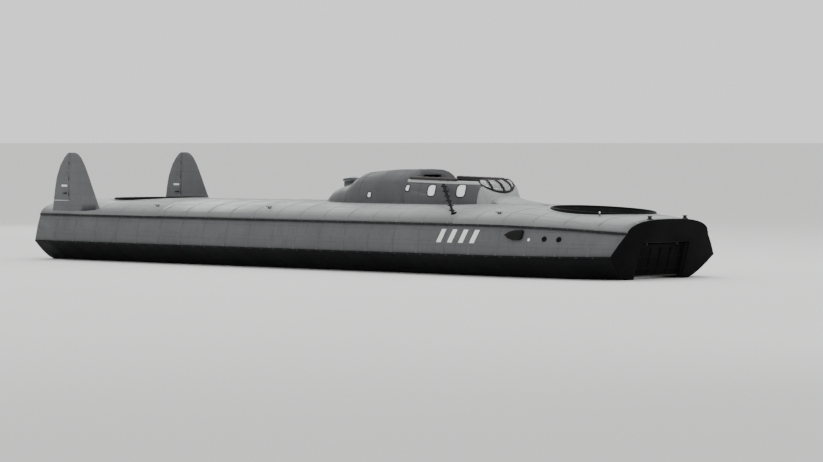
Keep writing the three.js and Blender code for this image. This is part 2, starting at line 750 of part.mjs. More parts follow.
function finAndRudder(side) {
  const whole = finBlade();
  const x = RUDDER_HINGE_X;
  const place = [x, 0, 0];
  const stubTop = RUDDER_FOOT_Z - FIN_BELOW_RUDDER;
  const footStub = whole.intersect(finBox(CLEAR.aftX, x + HINGE_GAP + 5, CLEAR.lowZ, stubTop));
  const tongues = joined(KNUCKLE_ZS.map(hingeTongue));
  const groove = barSolid(HINGE_GROOVE_R, stubTop, HINGE_TOP_Z + 20, "z", place, 12);
  let fin = whole.subtract(finBox(CLEAR.aftX, x + HINGE_GAP)).add(footStub).add(tongues);
  let rudder = whole
    .subtract(finBox(x, CLEAR.foreX))
    .subtract(finBox(CLEAR.aftX, CLEAR.foreX, CLEAR.lowZ, RUDDER_FOOT_Z))
    .subtract(noseBevel(-1))
    .subtract(noseBevel(1));
  let collars = barSolid(HINGE_COLLAR_R, RUDDER_FOOT_Z, HINGE_TOP_Z, "z", place, 12);
  for (const z of KNUCKLE_ZS) {
    const reach = KNUCKLE_HALF_HEIGHT + KNUCKLE_CLEAR;
    fin = fin.subtract(
      barSolid(HINGE_HOLE_R, z - reach, z + reach, "z", place, 12),
    );
    rudder = rudder.subtract(finBox(x - 34, x + 40, z - reach, z + reach));
    collars = collars.subtract(finBox(x - 50, x + 50, z - reach, z + reach));
  }
  const pin = barSolid(HINGE_PIN_R, RUDDER_FOOT_Z + 5, HINGE_TOP_Z, "z", place, 10);
  const shift = [0, sideSign(side) * FIN_Y, 0];
  fin = fin.subtract(groove.subtract(tongues)).translate(shift).subtract(deckCutter);
  rudder = rudder.add(collars).add(pin).translate(shift);
  addPart(`fin_${side}`, fin, "cabinGrey");
  addPart(`rudder_${side}`, rudder, "cabinGrey");
}

// Cabin, cockpit and what is in them

/** Sections of the cabin and its nose: station, half width and height of the roof */
const CABIN_SECTIONS = [
  { x: -860, half: 480, top: 1990 },
  { x: -600, half: 760, top: 2180 },
  { x: -250, half: 960, top: 2360 },
  { x: 200, half: 1090, top: 2470 },
  { x: 500, half: 1150, top: 2520 },
  { x: 720, half: 1175, top: 2710 },
  { x: 950, half: 1190, top: 2820 },
  { x: 1700, half: CABIN_HALF_WIDTH, top: 2880 },
  { x: BULKHEAD_X, half: CABIN_HALF_WIDTH, top: 2900 },
];
const COCKPIT_SECTIONS = [
  { x: BULKHEAD_X + GAP, half: CABIN_HALF_WIDTH, top: 2900 },
  { x: 4200, half: CABIN_HALF_WIDTH, top: 2870 },
  { x: 4900, half: 1170, top: 2870 },
  { x: 5300, half: 1060, top: 2850 },
  { x: 5600, half: 900, top: 2640 },
  { x: SCREEN_FOOT_X, half: 700, top: SCREEN_FOOT_Z + 10 },
];
const NOSE_SECTIONS = [
  { x: SCREEN_FOOT_X + GAP, half: 700, top: SCREEN_FOOT_Z + 10 },
  { x: 6250, half: 650, top: 2095 },
  { x: 6700, half: 520, top: 2035 },
  { x: 7150, half: 350, top: 1990 },
  { x: NOSE_END_X, half: 150, top: 1950 },
];
const CABIN_ARCH_STEPS = 14;

/** A rounded-square section of the cabin, thinned by the given amount. */
function cabinRing({ x, half, top }, thin = 0) {
  const points = [];
  const base = CABIN_BASE_Z - thin;
  for (let i = 0; i <= CABIN_ARCH_STEPS; i += 1) {
    const angle = (Math.PI * i) / CABIN_ARCH_STEPS;
    const across = Math.sign(Math.cos(angle)) * Math.abs(Math.cos(angle)) ** (2 / 3);
    const up = Math.sin(angle) ** (2 / 3);
    points.push(new THREE.Vector3(x, (half - thin) * across, base + (top - thin - base) * up));
  }
  return points;
}

/** Windows of one side: centre, half length, middle height and half height */
const WINDOWS = [
  { x: 1615, halfLong: 75, z: 2160, halfHigh: 75 },
  { x: 3120, halfLong: 75, z: 2370, halfHigh: 85 },
  { x: 4090, halfLong: 145, z: 2310, halfHigh: 155 },
  { x: 5155, halfLong: 135, z: 2310, halfHigh: 170 },
];

const WINDOW_CORNERS = 12;
// Half the width of a cut that goes through both sides of the cabin
const WIDE_CUT_Y = 1500;

/** A rounded-square hole right through both sides. */
function windowCutter({ x, halfLong, z, halfHigh }) {
  const outline = [];
  for (let i = 0; i < WINDOW_CORNERS; i += 1) {
    const angle = (2 * Math.PI * (i + 0.5)) / WINDOW_CORNERS;
    const round = (value) => Math.sign(value) * Math.abs(value) ** 0.6;
    outline.push([x + halfLong * round(Math.cos(angle)), z + halfHigh * round(Math.sin(angle))]);
  }
  return sideProfileSolid(outline, -WIDE_CUT_Y, WIDE_CUT_Y);
}

const windowCutters = () => joined(WINDOWS.map(windowCutter));

function cabinInside() {
  const sections = CABIN_SECTIONS.map((section, i) => {
    if (i === 0) return { ...section, x: section.x + 120 };
    if (i === CABIN_SECTIONS.length - 1) return { ...section, x: section.x - SHELL_THICK };
    return section;
  });
  return loft(sections.map((section) => cabinRing(section, SHELL_THICK)));
}

function cabinShell() {
  const outer = loft(CABIN_SECTIONS.map((section) => cabinRing(section)));
  const doorway = boxSolid([BULKHEAD_X - 100, -330, 1500], [BULKHEAD_X + 100, 330, 2740]);
  return outer
    .subtract(cabinInside())
    .subtract(doorway)
    .subtract(windowCutters())
    .add(hatchCoaming())
    .subtract(hatchHole())
    .subtract(deckCutter);
}

/** The height of the cockpit's rim, and forward of it the screen's foot. */
const rimZ = (x) =>
  x < RIM_FORE_X
    ? RIM_AFT_Z + (RIM_FORE_Z - RIM_AFT_Z) * share(x, BULKHEAD_X, RIM_FORE_X)
    : RIM_FORE_Z + (SCREEN_FOOT_Z - RIM_FORE_Z) * share(x, RIM_FORE_X, SCREEN_FOOT_X);

/** The shell's half width at a station and height. */
function cockpitHalfWidth(x, z) {
  const after = COCKPIT_SECTIONS.findIndex((section) => section.x >= x);
  const [a, b] = [COCKPIT_SECTIONS[Math.max(0, after - 1)], COCKPIT_SECTIONS[Math.max(1, after)]];
  const t = share(x, a.x, b.x);
  const half = a.half + (b.half - a.half) * t;
  const top = a.top + (b.top - a.top) * t;
  const up = Math.min(1, (z - CABIN_BASE_Z) / (top - CABIN_BASE_Z)) ** 1.5;
  return half * Math.sqrt(1 - up * up) ** (2 / 3);
}

/** The space inside the cockpit's shell, less a margin all round. */
function cockpitInside(margin = 0) {
  const sections = COCKPIT_SECTIONS.map((section, i) => {
    if (i === 0) return { ...section, x: section.x - 100 };
    if (i === COCKPIT_SECTIONS.length - 1) return { ...section, x: section.x - SHELL_THICK };
    return section;
  });
  return loft(sections.map((section) => cabinRing(section, SHELL_THICK + margin)));
}

function cockpitShell() {
  const outer = loft(COCKPIT_SECTIONS.map((section) => cabinRing(section)));
  const [aftX, foreX, topZ] = [BULKHEAD_X - 50, SCREEN_FOOT_X + 20, 4000];
  const above = sideProfileSolid(
    [
      [aftX, RIM_AFT_Z], [RIM_FORE_X, RIM_FORE_Z], [foreX, SCREEN_FOOT_Z - 8], [foreX, topZ],
      [aftX, topZ],
    ],
    -WIDE_CUT_Y,
    WIDE_CUT_Y,
  );
  return outer
    .subtract(cockpitInside())
    .subtract(above)
    .subtract(windowCutters())
    .subtract(deckCutter);
}

const noseFairing = () =>
  loft(NOSE_SECTIONS.map((section) => cabinRing(section))).subtract(deckCutter);

// The raised hatch over the after cabin, which hinges at its forward edge

const HATCH_X = 40;
const HATCH_HALF_LONG = 330;
const HATCH_HALF_WIDE = 400;
const HATCH_FOOT_Z = 2470;
const HATCH_TOP_Z = 2620;
const HATCH_HINGE_X = HATCH_X + HATCH_HALF_LONG + 40;
const HATCH_HINGE_Z = 2560;

const hatchHole = () =>
  boxSolid(
    [HATCH_X - HATCH_HALF_LONG + 70, -HATCH_HALF_WIDE + 70, 2000],
    [HATCH_X + HATCH_HALF_LONG - 70, HATCH_HALF_WIDE - 70, 3000],
  );

/** The coaming that the hatch closes on, standing on the cabin's shell. */
function hatchCoaming() {
  const outer = boxSolid(
    [HATCH_X - HATCH_HALF_LONG + 30, -HATCH_HALF_WIDE + 30, 2200],
    [HATCH_X + HATCH_HALF_LONG - 30, HATCH_HALF_WIDE - 30, HATCH_FOOT_Z + 60],
  );
  const lug = boxSolid(
    [HATCH_X + HATCH_HALF_LONG + 12, -60, 2300],
    [HATCH_HINGE_X + 24, 60, HATCH_HINGE_Z + 24],
  );
  const hole = barSolid(13, -200, 200, "y", [HATCH_HINGE_X, 0, HATCH_HINGE_Z], 12);
  return outer.add(lug).subtract(hatchHole()).subtract(hole).subtract(cabinInside());
}

function hatchLid() {
  const cap = [
    [1, 0], [1, 0.45], [0.86, 0.8], [0.5, 1], [-0.5, 1], [-0.86, 0.8], [-1, 0.45], [-1, 0],
  ];
  const low = HATCH_FOOT_Z + 60 + 6;
  const outline = cap.map(([u, v]) => [
    HATCH_X + u * HATCH_HALF_LONG,
    low + v * (HATCH_TOP_Z - low),
  ]);
  let lid = sideProfileSolid(outline, -HATCH_HALF_WIDE, HATCH_HALF_WIDE);
  for (const sign of [-1, 1]) {
    const arm = [sign * 90 - 18, sign * 90 + 18];
    lid = lid.add(
      boxSolid(
        [HATCH_X + HATCH_HALF_LONG - 60, arm[0], low],
        [HATCH_HINGE_X + 16, arm[1], HATCH_HINGE_Z + 16],
      ),
    );
  }
  return lid.add(barSolid(9, -106, 106, "y", [HATCH_HINGE_X, 0, HATCH_HINGE_Z], 10));
}

// The screen: its foot runs round the front of the cockpit, and its head leans over it

const SCREEN_HEAD_X = 5420;
const SCREEN_HEAD_HALF = 560;
const SCREEN_FOOT_SPREAD = 1000;
// Nearer the middle than this the screen's foot stands on the shell, not at its edge
const SCREEN_FREE_U = 0.34;

/** A point of the screen: u from starboard -1 to port 1, v from foot 0 to head 1. */
function screenPoint(u, v, out = 0) {
  const turn = (u * Math.PI) / 2;
  const footX = RIM_FORE_X + (SCREEN_FOOT_X - 30 - RIM_FORE_X) * Math.cos(turn);
  const footZ = rimZ(footX) + 28;
  const widest = Math.abs(u) < SCREEN_FREE_U ? Infinity : cockpitHalfWidth(footX, footZ) - 30;
  const footY = Math.sign(u) * Math.min(widest, SCREEN_FOOT_SPREAD * Math.abs(u));
  const headX = RIM_FORE_X + (SCREEN_HEAD_X - RIM_FORE_X) * Math.cos(turn);
  const headY = SCREEN_HEAD_HALF * Math.sin(turn);
  const foot = new THREE.Vector3(footX, footY, footZ);
  const head = new THREE.Vector3(headX, headY, SCREEN_TOP_Z);
  const bulge = 90 * Math.sin(Math.PI * v) * Math.cos(turn);
  const outward = new THREE.Vector3(Math.cos(turn) * 0.8, Math.sin(turn) * 0.8, 0.6);
  return foot.lerp(head, v).addScaledVector(outward, bulge + out);
}

/** A curved panel of the screen between two offsets, over a span of u and some heights v. */
function screenPanel([fromU, toU], columns, heights, innerOff, outerOff) {
  const rings = [];
  for (let i = 0; i <= columns; i += 1) {
    const u = fromU + ((toU - fromU) * i) / columns;
    const outside = heights.map((v) => screenPoint(u, v, outerOff));
    const inside = heights.map((v) => screenPoint(u, v, innerOff));
    rings.push([...outside, ...inside.reverse()]);
  }
  return loft(rings, "x");
}

const SCREEN_SPAN = [-0.95, 0.95];
const SCREEN_COLUMNS = 10;
// Heights up the screen; the glass leaves out the first and the last
const SCREEN_HEIGHTS = [0, 0.04, 0.25, 0.5, 0.75, 0.96, 1];
const FRAME_HALF_THICK = 13;
const GLASS_CLEAR = 5;
const PANE_SPANS = [[-0.88, -0.43], [-0.36, -0.035], [0.035, 0.36], [0.43, 0.88]];
const PANE_HEIGHTS = [0.09, 0.36, 0.63, 0.91];

function screenFrame() {
  const thick = FRAME_HALF_THICK;
  const panel = screenPanel(SCREEN_SPAN, SCREEN_COLUMNS, SCREEN_HEIGHTS, -thick, thick);
  return PANE_SPANS.reduce(
    (frame, span) => frame.subtract(screenPanel(span, 3, PANE_HEIGHTS, -45, 45)),
    panel,
  );
}

/** The glass, one sheet against the frame's inner face. */
function screenGlass() {
  const heights = SCREEN_HEIGHTS.slice(1, -1);
  const face = -FRAME_HALF_THICK - GLASS_CLEAR;
  return screenPanel(SCREEN_SPAN, SCREEN_COLUMNS, heights, face, face - 8);
}

/** A round tube through points. */
function tubeSolid(points, radius, segments = 8) {
  const curve = new THREE.CatmullRomCurve3(points, false, "centripetal");
  const section = new THREE.Shape();
  for (let i = 0; i < segments; i += 1) {
    const angle = (2 * Math.PI * i) / segments;
    const place = [radius * Math.cos(angle), radius * Math.sin(angle)];
    if (i === 0) section.moveTo(...place);
    else section.lineTo(...place);
  }
  const path = { extrudePath: curve, steps: points.length - 1, bevelEnabled: false };
  return solidOf(new THREE.ExtrudeGeometry(section, path));
}

// What the crew uses

const DASH_X = 5480;
const DASH_THICK = 90;
const DASH_LOW_Z = 1960;
const DASH_TOP_Z = 2350;
const WHEEL_Y = 420;
const WHEEL_R = 185;
const WHEEL_HUB = [5240, WHEEL_Y, 2250];
const WHEEL_TILT = 12;
const COLUMN_R = 18;
const SEAT_Y = 420;
const SEAT_X = 4560;
const SEAT_TOP_Z = 1840;

/** A direction along the steering column, forward and down from the wheel. */
const columnDirection = new THREE.Vector3(1, 0, 0).applyAxisAngle(
  new THREE.Vector3(0, 1, 0),
  THREE.MathUtils.degToRad(WHEEL_TILT),
);
const alongColumn = (distance) =>
  new THREE.Vector3(...WHEEL_HUB).addScaledVector(columnDirection, distance).toArray();

function dashboard() {
  const low = [DASH_X, -1200, DASH_LOW_Z];
  const panel = boxSolid(low, [DASH_X + DASH_THICK, 1200, DASH_TOP_Z]);
  const sleeve = strutSolid(alongColumn(120), alongColumn(300), 36, 36, 12);
  const bore = strutSolid(alongColumn(100), alongColumn(262), 26, 26, 12);
  return panel.intersect(cockpitInside(GAP)).add(sleeve).subtract(bore);
}

function steeringWheel() {
  const shaft = strutSolid(alongColumn(-20), alongColumn(255), COLUMN_R, COLUMN_R, 10);
  const hub = strutSolid(alongColumn(-25), alongColumn(25), 45, 45, 12);
  const ring = new THREE.TorusGeometry(WHEEL_R, 14, 6, 20);
  ring.rotateY(Math.PI / 2);
  const bodies = [solidOf(ring)];
  for (let i = 0; i < 3; i += 1) {
    const spoke = strutSolid([0, 0, 0], [0, 0, WHEEL_R], 11, 9, 8);
    bodies.push(spoke.rotate([120 * i, 0, 0]));
  }
  const turned = joined(bodies).rotate([0, WHEEL_TILT, 0]).translate(WHEEL_HUB);
  return joined([turned, shaft, hub]);
}

function seat(y) {
  const outline = [
    [SEAT_X + 230, SEAT_TOP_Z - 40], [SEAT_X + 210, SEAT_TOP_Z], [SEAT_X - 190, SEAT_TOP_Z - 20],
    [SEAT_X - 260, SEAT_TOP_Z + 380], [SEAT_X - 300, SEAT_TOP_Z + 400],
    [SEAT_X - 330, SEAT_TOP_Z + 370], [SEAT_X - 270, SEAT_TOP_Z - 100],
    [SEAT_X + 220, SEAT_TOP_Z - 100],
  ];
  const bucket = sideProfileSolid(outline, y - 230, y + 230);
  const pedestal = barSolid(60, PIT_FLOOR_Z + GAP, SEAT_TOP_Z - 60, "z", [SEAT_X - 20, y, 0], 12);
  const foot = barSolid(160, PIT_FLOOR_Z + GAP, PIT_FLOOR_Z + 30, "z", [SEAT_X - 20, y, 0], 16);
  return joined([bucket, pedestal, foot]);
}

/** A padded roll along one side of the cockpit's rim. */
function coaming(sign) {
  const points = [];
  for (let i = 0; i <= 6; i += 1) {
    const x = BULKHEAD_X + 60 + (1880 * i) / 6;
    const y = cockpitHalfWidth(x, rimZ(x)) - 22;
    points.push(new THREE.Vector3(x, sign * y, rimZ(x) + 34));
  }
  const shell = cockpitShell();
  return largest(
    tubeSolid(points, 44, 8).subtract(shell).subtract(shell.translate([0, 0, GAP])),
  );
}

const LADDER_FOOT = [5980, -2170];
const LADDER_HEAD = [4590, -1165, 2475];
const LADDER_R = 34;
const LADDER_PEGS = 6;

/** A single-spar boarding ladder from the deck's edge up to the cockpit's side. */
function boardingLadder() {
  const foot = [...LADDER_FOOT, deckZ(...LADDER_FOOT) - 40];
  const bodies = [strutSolid(foot, LADDER_HEAD, LADDER_R, LADDER_R * 1.25, 10)];
  const from = new THREE.Vector3(...foot);
  const to = new THREE.Vector3(...LADDER_HEAD);
  const run = to.clone().sub(from).normalize();
  const across = new THREE.Vector3(run.y, -run.x, 0).normalize();
  for (let i = 0; i < LADDER_PEGS; i += 1) {
    const place = from.clone().lerp(to, (i + 0.9) / (LADDER_PEGS + 0.3));
    const [a, b] = [-85, 85].map((d) => place.clone().addScaledVector(across, d).toArray());
    bodies.push(strutSolid(a, b, 14, 14, 6));
  }
  bodies.push(barSolid(75, foot[2] - 60, foot[2] + 62, "z", [foot[0], foot[1], 0], 12));
  const shell = cockpitShell();
  const body = joined(bodies).subtract(deckCutter).subtract(shell);
  return largest(body.subtract(shell.translate([0, -2, 0])));
}

function bollard(sign) {
  const [x, y] = [11850, sign * 720];
  const z = deckZ(x, y);
  const profile = [
    [0, z - 80], [82, z - 80], [82, z + 14], [50, z + 22], [46, z + 58], [66, z + 68],
    [66, z + 82], [52, z + 90], [0, z + 90],
  ];
  return turnedSolid(profile, x, y, 16).subtract(deckCutter);
}

const EXHAUST_OUT = 75;

/** An engine's exhaust cowl on the hull's side, pointed aft. */
function exhaust(sign) {
  const swollen = (out) =>
    hullLoft(HULL_STATIONS, (x) => floatSection(x).map(([y, z]) => [y + out, z]), sign);
  const outline = [
    [8230, 1170], [8380, 1255], [8560, 1300], [8780, 1310], [8830, 1270], [8830, 1090],
    [8780, 1045], [8560, 1040], [8380, 1085],
  ];
  const [nearY, farY] = [1500, 3500].map((y) => sign * y).sort((a, b) => a - b);
  const prism = sideProfileSolid(outline, nearY, farY);
  return prism.intersect(swollen(EXHAUST_OUT)).subtract(swollen(GAP));
}

function cockpit() {
  addPart("cockpit_shell", cockpitShell(), "cabinGrey");
  addPart("nose_fairing", noseFairing(), "deckGrey");
  addPart("windshield_frame", largest(screenFrame()), "cabinGrey");
  addPart("windshield_glass", screenGlass(), "glass");
  addPart("dashboard", dashboard(), "cabinGrey");
  addPart("steering_wheel", steeringWheel(), "rubber");
  for (const side of SIDES) {
    addPart(`seat_${side}`, seat(sideSign(side) * SEAT_Y), "leather");
    addPart(`cockpit_coaming_${side}`, coaming(sideSign(side)), "leather");
  }
}

hull();
wells();
flaps();
SIDES.forEach(finAndRudder);
addPart("cabin_shell", cabinShell(), "cabinGrey");
addPart("hatch_lid", hatchLid(), "cabinGrey");
cockpit();
addPart("boarding_ladder", boardingLadder(), "railDark");
for (const side of SIDES) {
  addPart(`bollard_${side}`, bollard(sideSign(side)), "railDark");
  addPart(`exhaust_${side}`, exhaust(sideSign(side)), "bowBlack");
}

export default craft;
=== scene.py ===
"""The finish of a 24 m air-cushion boat: plating, straps, rivets and paint over its hull, detailed
engines and airscrews in both wells, and a fitted-out cabin and cockpit. Metres; +X is the bow,
+Y is port, +Z is up, and the boat stands on its keels at Z = 0."""

import json
import math
from contextlib import contextmanager

import bmesh
import bpy
from mathutils import Matrix, Vector
from mathutils.bvhtree import BVHTree

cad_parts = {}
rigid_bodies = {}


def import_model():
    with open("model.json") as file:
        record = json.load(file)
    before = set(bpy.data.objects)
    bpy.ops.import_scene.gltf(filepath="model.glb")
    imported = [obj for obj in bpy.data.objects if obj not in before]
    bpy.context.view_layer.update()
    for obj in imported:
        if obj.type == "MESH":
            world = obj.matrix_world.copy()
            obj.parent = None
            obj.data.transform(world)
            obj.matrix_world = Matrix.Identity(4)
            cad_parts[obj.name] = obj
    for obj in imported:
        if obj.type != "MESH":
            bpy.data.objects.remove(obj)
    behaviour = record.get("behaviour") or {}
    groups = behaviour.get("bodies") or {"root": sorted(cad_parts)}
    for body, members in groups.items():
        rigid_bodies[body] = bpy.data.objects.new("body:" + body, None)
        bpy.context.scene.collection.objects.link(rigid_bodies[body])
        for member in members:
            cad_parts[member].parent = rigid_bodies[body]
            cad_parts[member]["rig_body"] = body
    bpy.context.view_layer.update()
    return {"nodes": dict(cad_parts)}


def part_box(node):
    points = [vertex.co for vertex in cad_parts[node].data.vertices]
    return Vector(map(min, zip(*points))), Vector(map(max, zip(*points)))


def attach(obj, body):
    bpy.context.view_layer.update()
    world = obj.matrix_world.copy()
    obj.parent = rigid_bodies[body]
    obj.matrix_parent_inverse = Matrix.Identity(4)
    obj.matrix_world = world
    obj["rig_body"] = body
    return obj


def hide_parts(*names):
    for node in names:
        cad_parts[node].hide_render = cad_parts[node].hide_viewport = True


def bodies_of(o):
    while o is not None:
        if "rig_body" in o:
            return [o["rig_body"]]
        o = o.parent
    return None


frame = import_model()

bl_info = {
    "name": "Air-cushion boat",
    "version": (1, 0, 0),
    "blender": (4, 5, 0),
    "location": "3D View > Sidebar > Boat",
    "description": "Dresses the packed boat with plating, machinery, fittings and paint",
    "category": "Object",
}

SIDES = {"port": 1, "starboard": -1}
NODES = frame["nodes"]

# Places that the fittings are measured from, in metres

CHINE_Z = 0.574
DECK_LOW_Z = 1.2
WELLS = {
    "front": {"x": 9.57, "fan_z": 1.56, "rim_z": 1.8, "slope": -0.065},
    "rear": {"x": -8.9, "fan_z": 1.6, "rim_z": 1.905, "slope": 0.012},
}
DUCT_INNER_R = 1.385
THROAT_R = 1.2
TUNNEL_ROOF_Z = 1.0
DECK_JOINT_X = 6.2
VANE_PIVOT_Z = 0.62
VANE_PITCH = 0.68
RUDDER_HINGE_X = -10.54
FIN_Y = 2.3
PIT_FLOOR_Z = 1.15


# Making and shaping meshes


def only(piece):
    """Selects one object alone and makes it active."""
    bpy.ops.object.select_all(action="DESELECT")
    piece.select_set(True)
    bpy.context.view_layer.objects.active = piece


@contextmanager
def editing(piece):
    """Edit mode on one object, with all of it selected."""
    only(piece)
    bpy.ops.object.mode_set(mode="EDIT")
    bpy.ops.mesh.select_all(action="SELECT")
    yield
    bpy.ops.object.mode_set(mode="OBJECT")


def pick(piece, kind, test):
    """In edit mode, selects only the verts, edges or faces that pass a test."""
    bpy.ops.mesh.select_mode(type={"verts": "VERT", "edges": "EDGE", "faces": "FACE"}[kind])
    bpy.ops.mesh.select_all(action="DESELECT")
    mesh = bmesh.from_edit_mesh(piece.data)
    for item in getattr(mesh, kind):
        if test(item):
            item.select_set(True)
    mesh.select_flush_mode()
    bmesh.update_edit_mesh(piece.data)


def draw_out(step):
    """In edit mode, extrudes the selection by a step."""
    bpy.ops.mesh.extrude_region_move(TRANSFORM_OT_translate={"value": step})


def face_out():
    """In edit mode, turns every face outward."""
    bpy.ops.mesh.select_all(action="SELECT")
    bpy.ops.mesh.normals_make_consistent(inside=False)


def all_out(piece):
    """Merges a piece's doubles and turns its faces outward."""
    with editing(piece):
        bpy.ops.mesh.remove_doubles(threshold=0.0001)
        face_out()


def named(name):
    """The object that an operator has just added, with its place put into its mesh."""
    piece = bpy.context.active_object
    piece.name = name
    piece.data.name = name
    only(piece)
    bpy.ops.object.transform_apply(location=True, rotation=True, scale=True)
    return piece


def modify(piece, kind, **settings):
    """Adds one modifier and applies it."""
    only(piece)
    modifier = piece.modifiers.new(kind.lower(), kind)
    for key, value in settings.items():
        setattr(modifier, key, value)
    bpy.ops.object.modifier_apply(modifier=modifier.name)


def smooth(piece, angle=35):
    only(piece)
    bpy.ops.object.shade_smooth_by_angle(angle=math.radians(angle))
    return piece


def rounded(piece, width, angle=35):
    """Rounds a piece's sharp edges."""
    modify(piece, "BEVEL", width=width, segments=2, limit_method="ANGLE",
           angle_limit=math.radians(angle), use_clamp_overlap=True)
    return smooth(piece, angle)


def joined(name, pieces):
    """Several pieces as one object."""
    only(pieces[0])
    for piece in pieces:
        piece.select_set(True)
    if len(pieces) > 1:
        bpy.ops.object.join()
    piece = bpy.context.active_object
    piece.name = name
    piece.data.name = name
    return piece


def block(name, low, high, bevel=0.004, segments=2):
    """A box between two corners, with rounded edges."""
    low, high = Vector(low), Vector(high)
    bpy.ops.mesh.primitive_cube_add(size=1, location=(low + high) / 2, scale=high - low)
    piece = named(name)
    if bevel:
        with editing(piece):
            bpy.ops.mesh.bevel(offset=bevel, segments=segments, affect="EDGES")
    return smooth(piece)


def torus(name, radius, thick, place=(0, 0, 0), steps=72, sides=12, turn=(0, 0, 0)):
    bpy.ops.mesh.primitive_torus_add(major_segments=steps, minor_segments=sides, major_radius=radius,
                                     minor_radius=thick, location=place, rotation=turn)
    return smooth(named(name), 60)


def bar(name, start, end, radius, end_radius=None, sides=16):
    """A round bar between two points, which may narrow."""
    start, end = Vector(start), Vector(end)
    run = end - start
    bpy.ops.mesh.primitive_cone_add(
        vertices=sides, radius1=radius, radius2=radius if end_radius is None else end_radius,
        depth=run.length, location=(start + end) / 2,
        rotation=run.to_track_quat("Z", "Y").to_euler())
    return smooth(named(name), 40)


def chain(name, points):
    """Edges drawn from point to point."""
    points = [Vector(point) for point in points]
    bpy.ops.mesh.primitive_plane_add(size=0.1)
    piece = named(name)
    with editing(piece):
        bpy.ops.mesh.select_mode(type="VERT")
        bpy.ops.mesh.merge(type="CENTER")
        bpy.ops.transform.translate(value=points[0])
        for before, after in zip(points, points[1:]):
            draw_out(after - before)
    return piece


def pipe(name, points, radius, sides=8, closed=False):
    """A round tube or wire through points."""
    points = [Vector(point) for point in points]
    piece = chain(name, [*points, points[0]] if closed else points)
    if closed:
        with editing(piece):
            bpy.ops.mesh.remove_doubles(threshold=0.0001)
    only(piece)
    bpy.ops.object.convert(target="CURVE")
    curve = bpy.context.active_object
    curve.data.bevel_depth = radius
    curve.data.bevel_resolution = max(0, sides // 4 - 1)
    curve.data.use_fill_caps = not closed
    bpy.ops.object.convert(target="MESH")
    piece = named(name)
    all_out(piece)
    return smooth(piece, 50)


def stand_at(place, normal):
    """The matrix that stands a piece at a place with its top along a normal."""
    return Matrix.LocRotScale(Vector(place), Vector(normal).to_track_quat("Z", "Y"), None)


def turned(name, profile, place, axis=(0, 0, 1), steps=32):
    """A piece turned on a lathe: profile in [radius, height] pairs, stood on an axis."""
    piece = chain(name, [(radius, 0, height) for radius, height in profile])
    with editing(piece):
        bpy.ops.mesh.spin(steps=steps, angle=2 * math.pi, center=(0, 0, 0), axis=(0, 0, 1))
    all_out(piece)
    piece.matrix_world = stand_at(place, axis)
    return smooth(named(name), 32)


def plate(name, outline, thickness, bevel=0.0):
    """A flat plate: an outline of points, and the way and distance that it is thick."""
    piece = chain(name, outline)
    with editing(piece):
        bpy.ops.mesh.edge_face_add()
        draw_out(Vector(thickness))
        face_out()
    return rounded(piece, bevel) if bevel else smooth(piece)


def moved(piece, name, matrix):
    """A copy of a piece with its own mesh, put elsewhere."""
    other = piece.copy()
    other.data = piece.data.copy()
    other.name = other.data.name = name
    bpy.context.scene.collection.objects.link(other)
    other.data.transform(matrix)
    if matrix.determinant() < 0:
        other.data.flip_normals()
    return other


def round_and_round(name, piece, count, centre, axis="Z", first=0.0):
    """Copies of a piece set evenly round an axis, joined with it."""
    centre = Matrix.Translation(Vector(centre))
    copies = [
        moved(piece, f"{name}_{i}",
              centre @ Matrix.Rotation(2 * math.pi * i / count + first, 4, axis) @ centre.inverted())
        for i in range(count)
    ]
    bpy.data.objects.remove(piece)
    return joined(name, copies)


def row_of(piece, shifts):
    """Shifted copies of a piece, which take its place."""
    copies = [moved(piece, piece.name, Matrix.Translation(shift)) for shift in shifts]
    bpy.data.objects.remove(piece)
    return copies


def stamped(name, piece, places):
    """One object of small copies, each stood at a place with its top along a normal."""
    own = [vertex.co.copy() for vertex in piece.data.vertices]
    loops = [tuple(face.vertices) for face in piece.data.polygons]
    points, faces = [], []
    for place, normal in places:
        stand = stand_at(place, normal)
        first = len(points)
        points.extend(stand @ point for point in own)
        faces.extend(tuple(first + i for i in loop) for loop in loops)
    mesh = bpy.data.meshes.new(name)
    mesh.from_pydata(points, [], faces)
    bpy.data.objects.remove(piece)
    copies = bpy.data.objects.new(name, mesh)
    bpy.context.scene.collection.objects.link(copies)
    return smooth(copies, 60)


def turn_about(normal, radius, index, count):
    """A step of a ring in the plane across a normal."""
    stand = Vector(normal).to_track_quat("Z", "Y")
    angle = 2 * math.pi * index / count
    return stand @ Vector((radius * math.cos(angle), radius * math.sin(angle), 0))


def ring_of(place, normal, radius, count, lift=0.0):
    """Places evenly round a ring, each with the ring's normal."""
    place, normal = Vector(place), Vector(normal)
    return [(place + turn_about(normal, radius, i, count) + normal * lift, normal)
            for i in range(count)]


def rivets(name, places, radius):
    """Round-headed rivets at places with normals."""
    bpy.ops.mesh.primitive_uv_sphere_add(segments=6, ring_count=4, radius=radius)
    head = named(name + "_head")
    with editing(head):
        bpy.ops.mesh.bisect(plane_co=(0, 0, 0), plane_no=(0, 0, 1), clear_inner=True)
        bpy.ops.mesh.select_all(action="SELECT")
        bpy.ops.transform.resize(value=(1, 1, 0.55), center_override=(0, 0, 0))
    return stamped(name, head, places)


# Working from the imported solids

TREES = {}


def touch(node, start, way):
    """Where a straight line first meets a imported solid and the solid's normal there, or None."""
    if node not in TREES:
        mesh = NODES[node].data
        TREES[node] = BVHTree.FromPolygons(
            [vertex.co for vertex in mesh.vertices],
            [tuple(face.vertices) for face in mesh.polygons])
    place, normal, _, _ = TREES[node].ray_cast(Vector(start), Vector(way).normalized())
    return None if place is None else (place, normal)


def abeam(node, x, z, way, y=0, far=4):
    """Where a line across the boat, from a distance to one side of y, first meets a solid."""
    return touch(node, (x, y + far * way, z), (0, -way, 0))


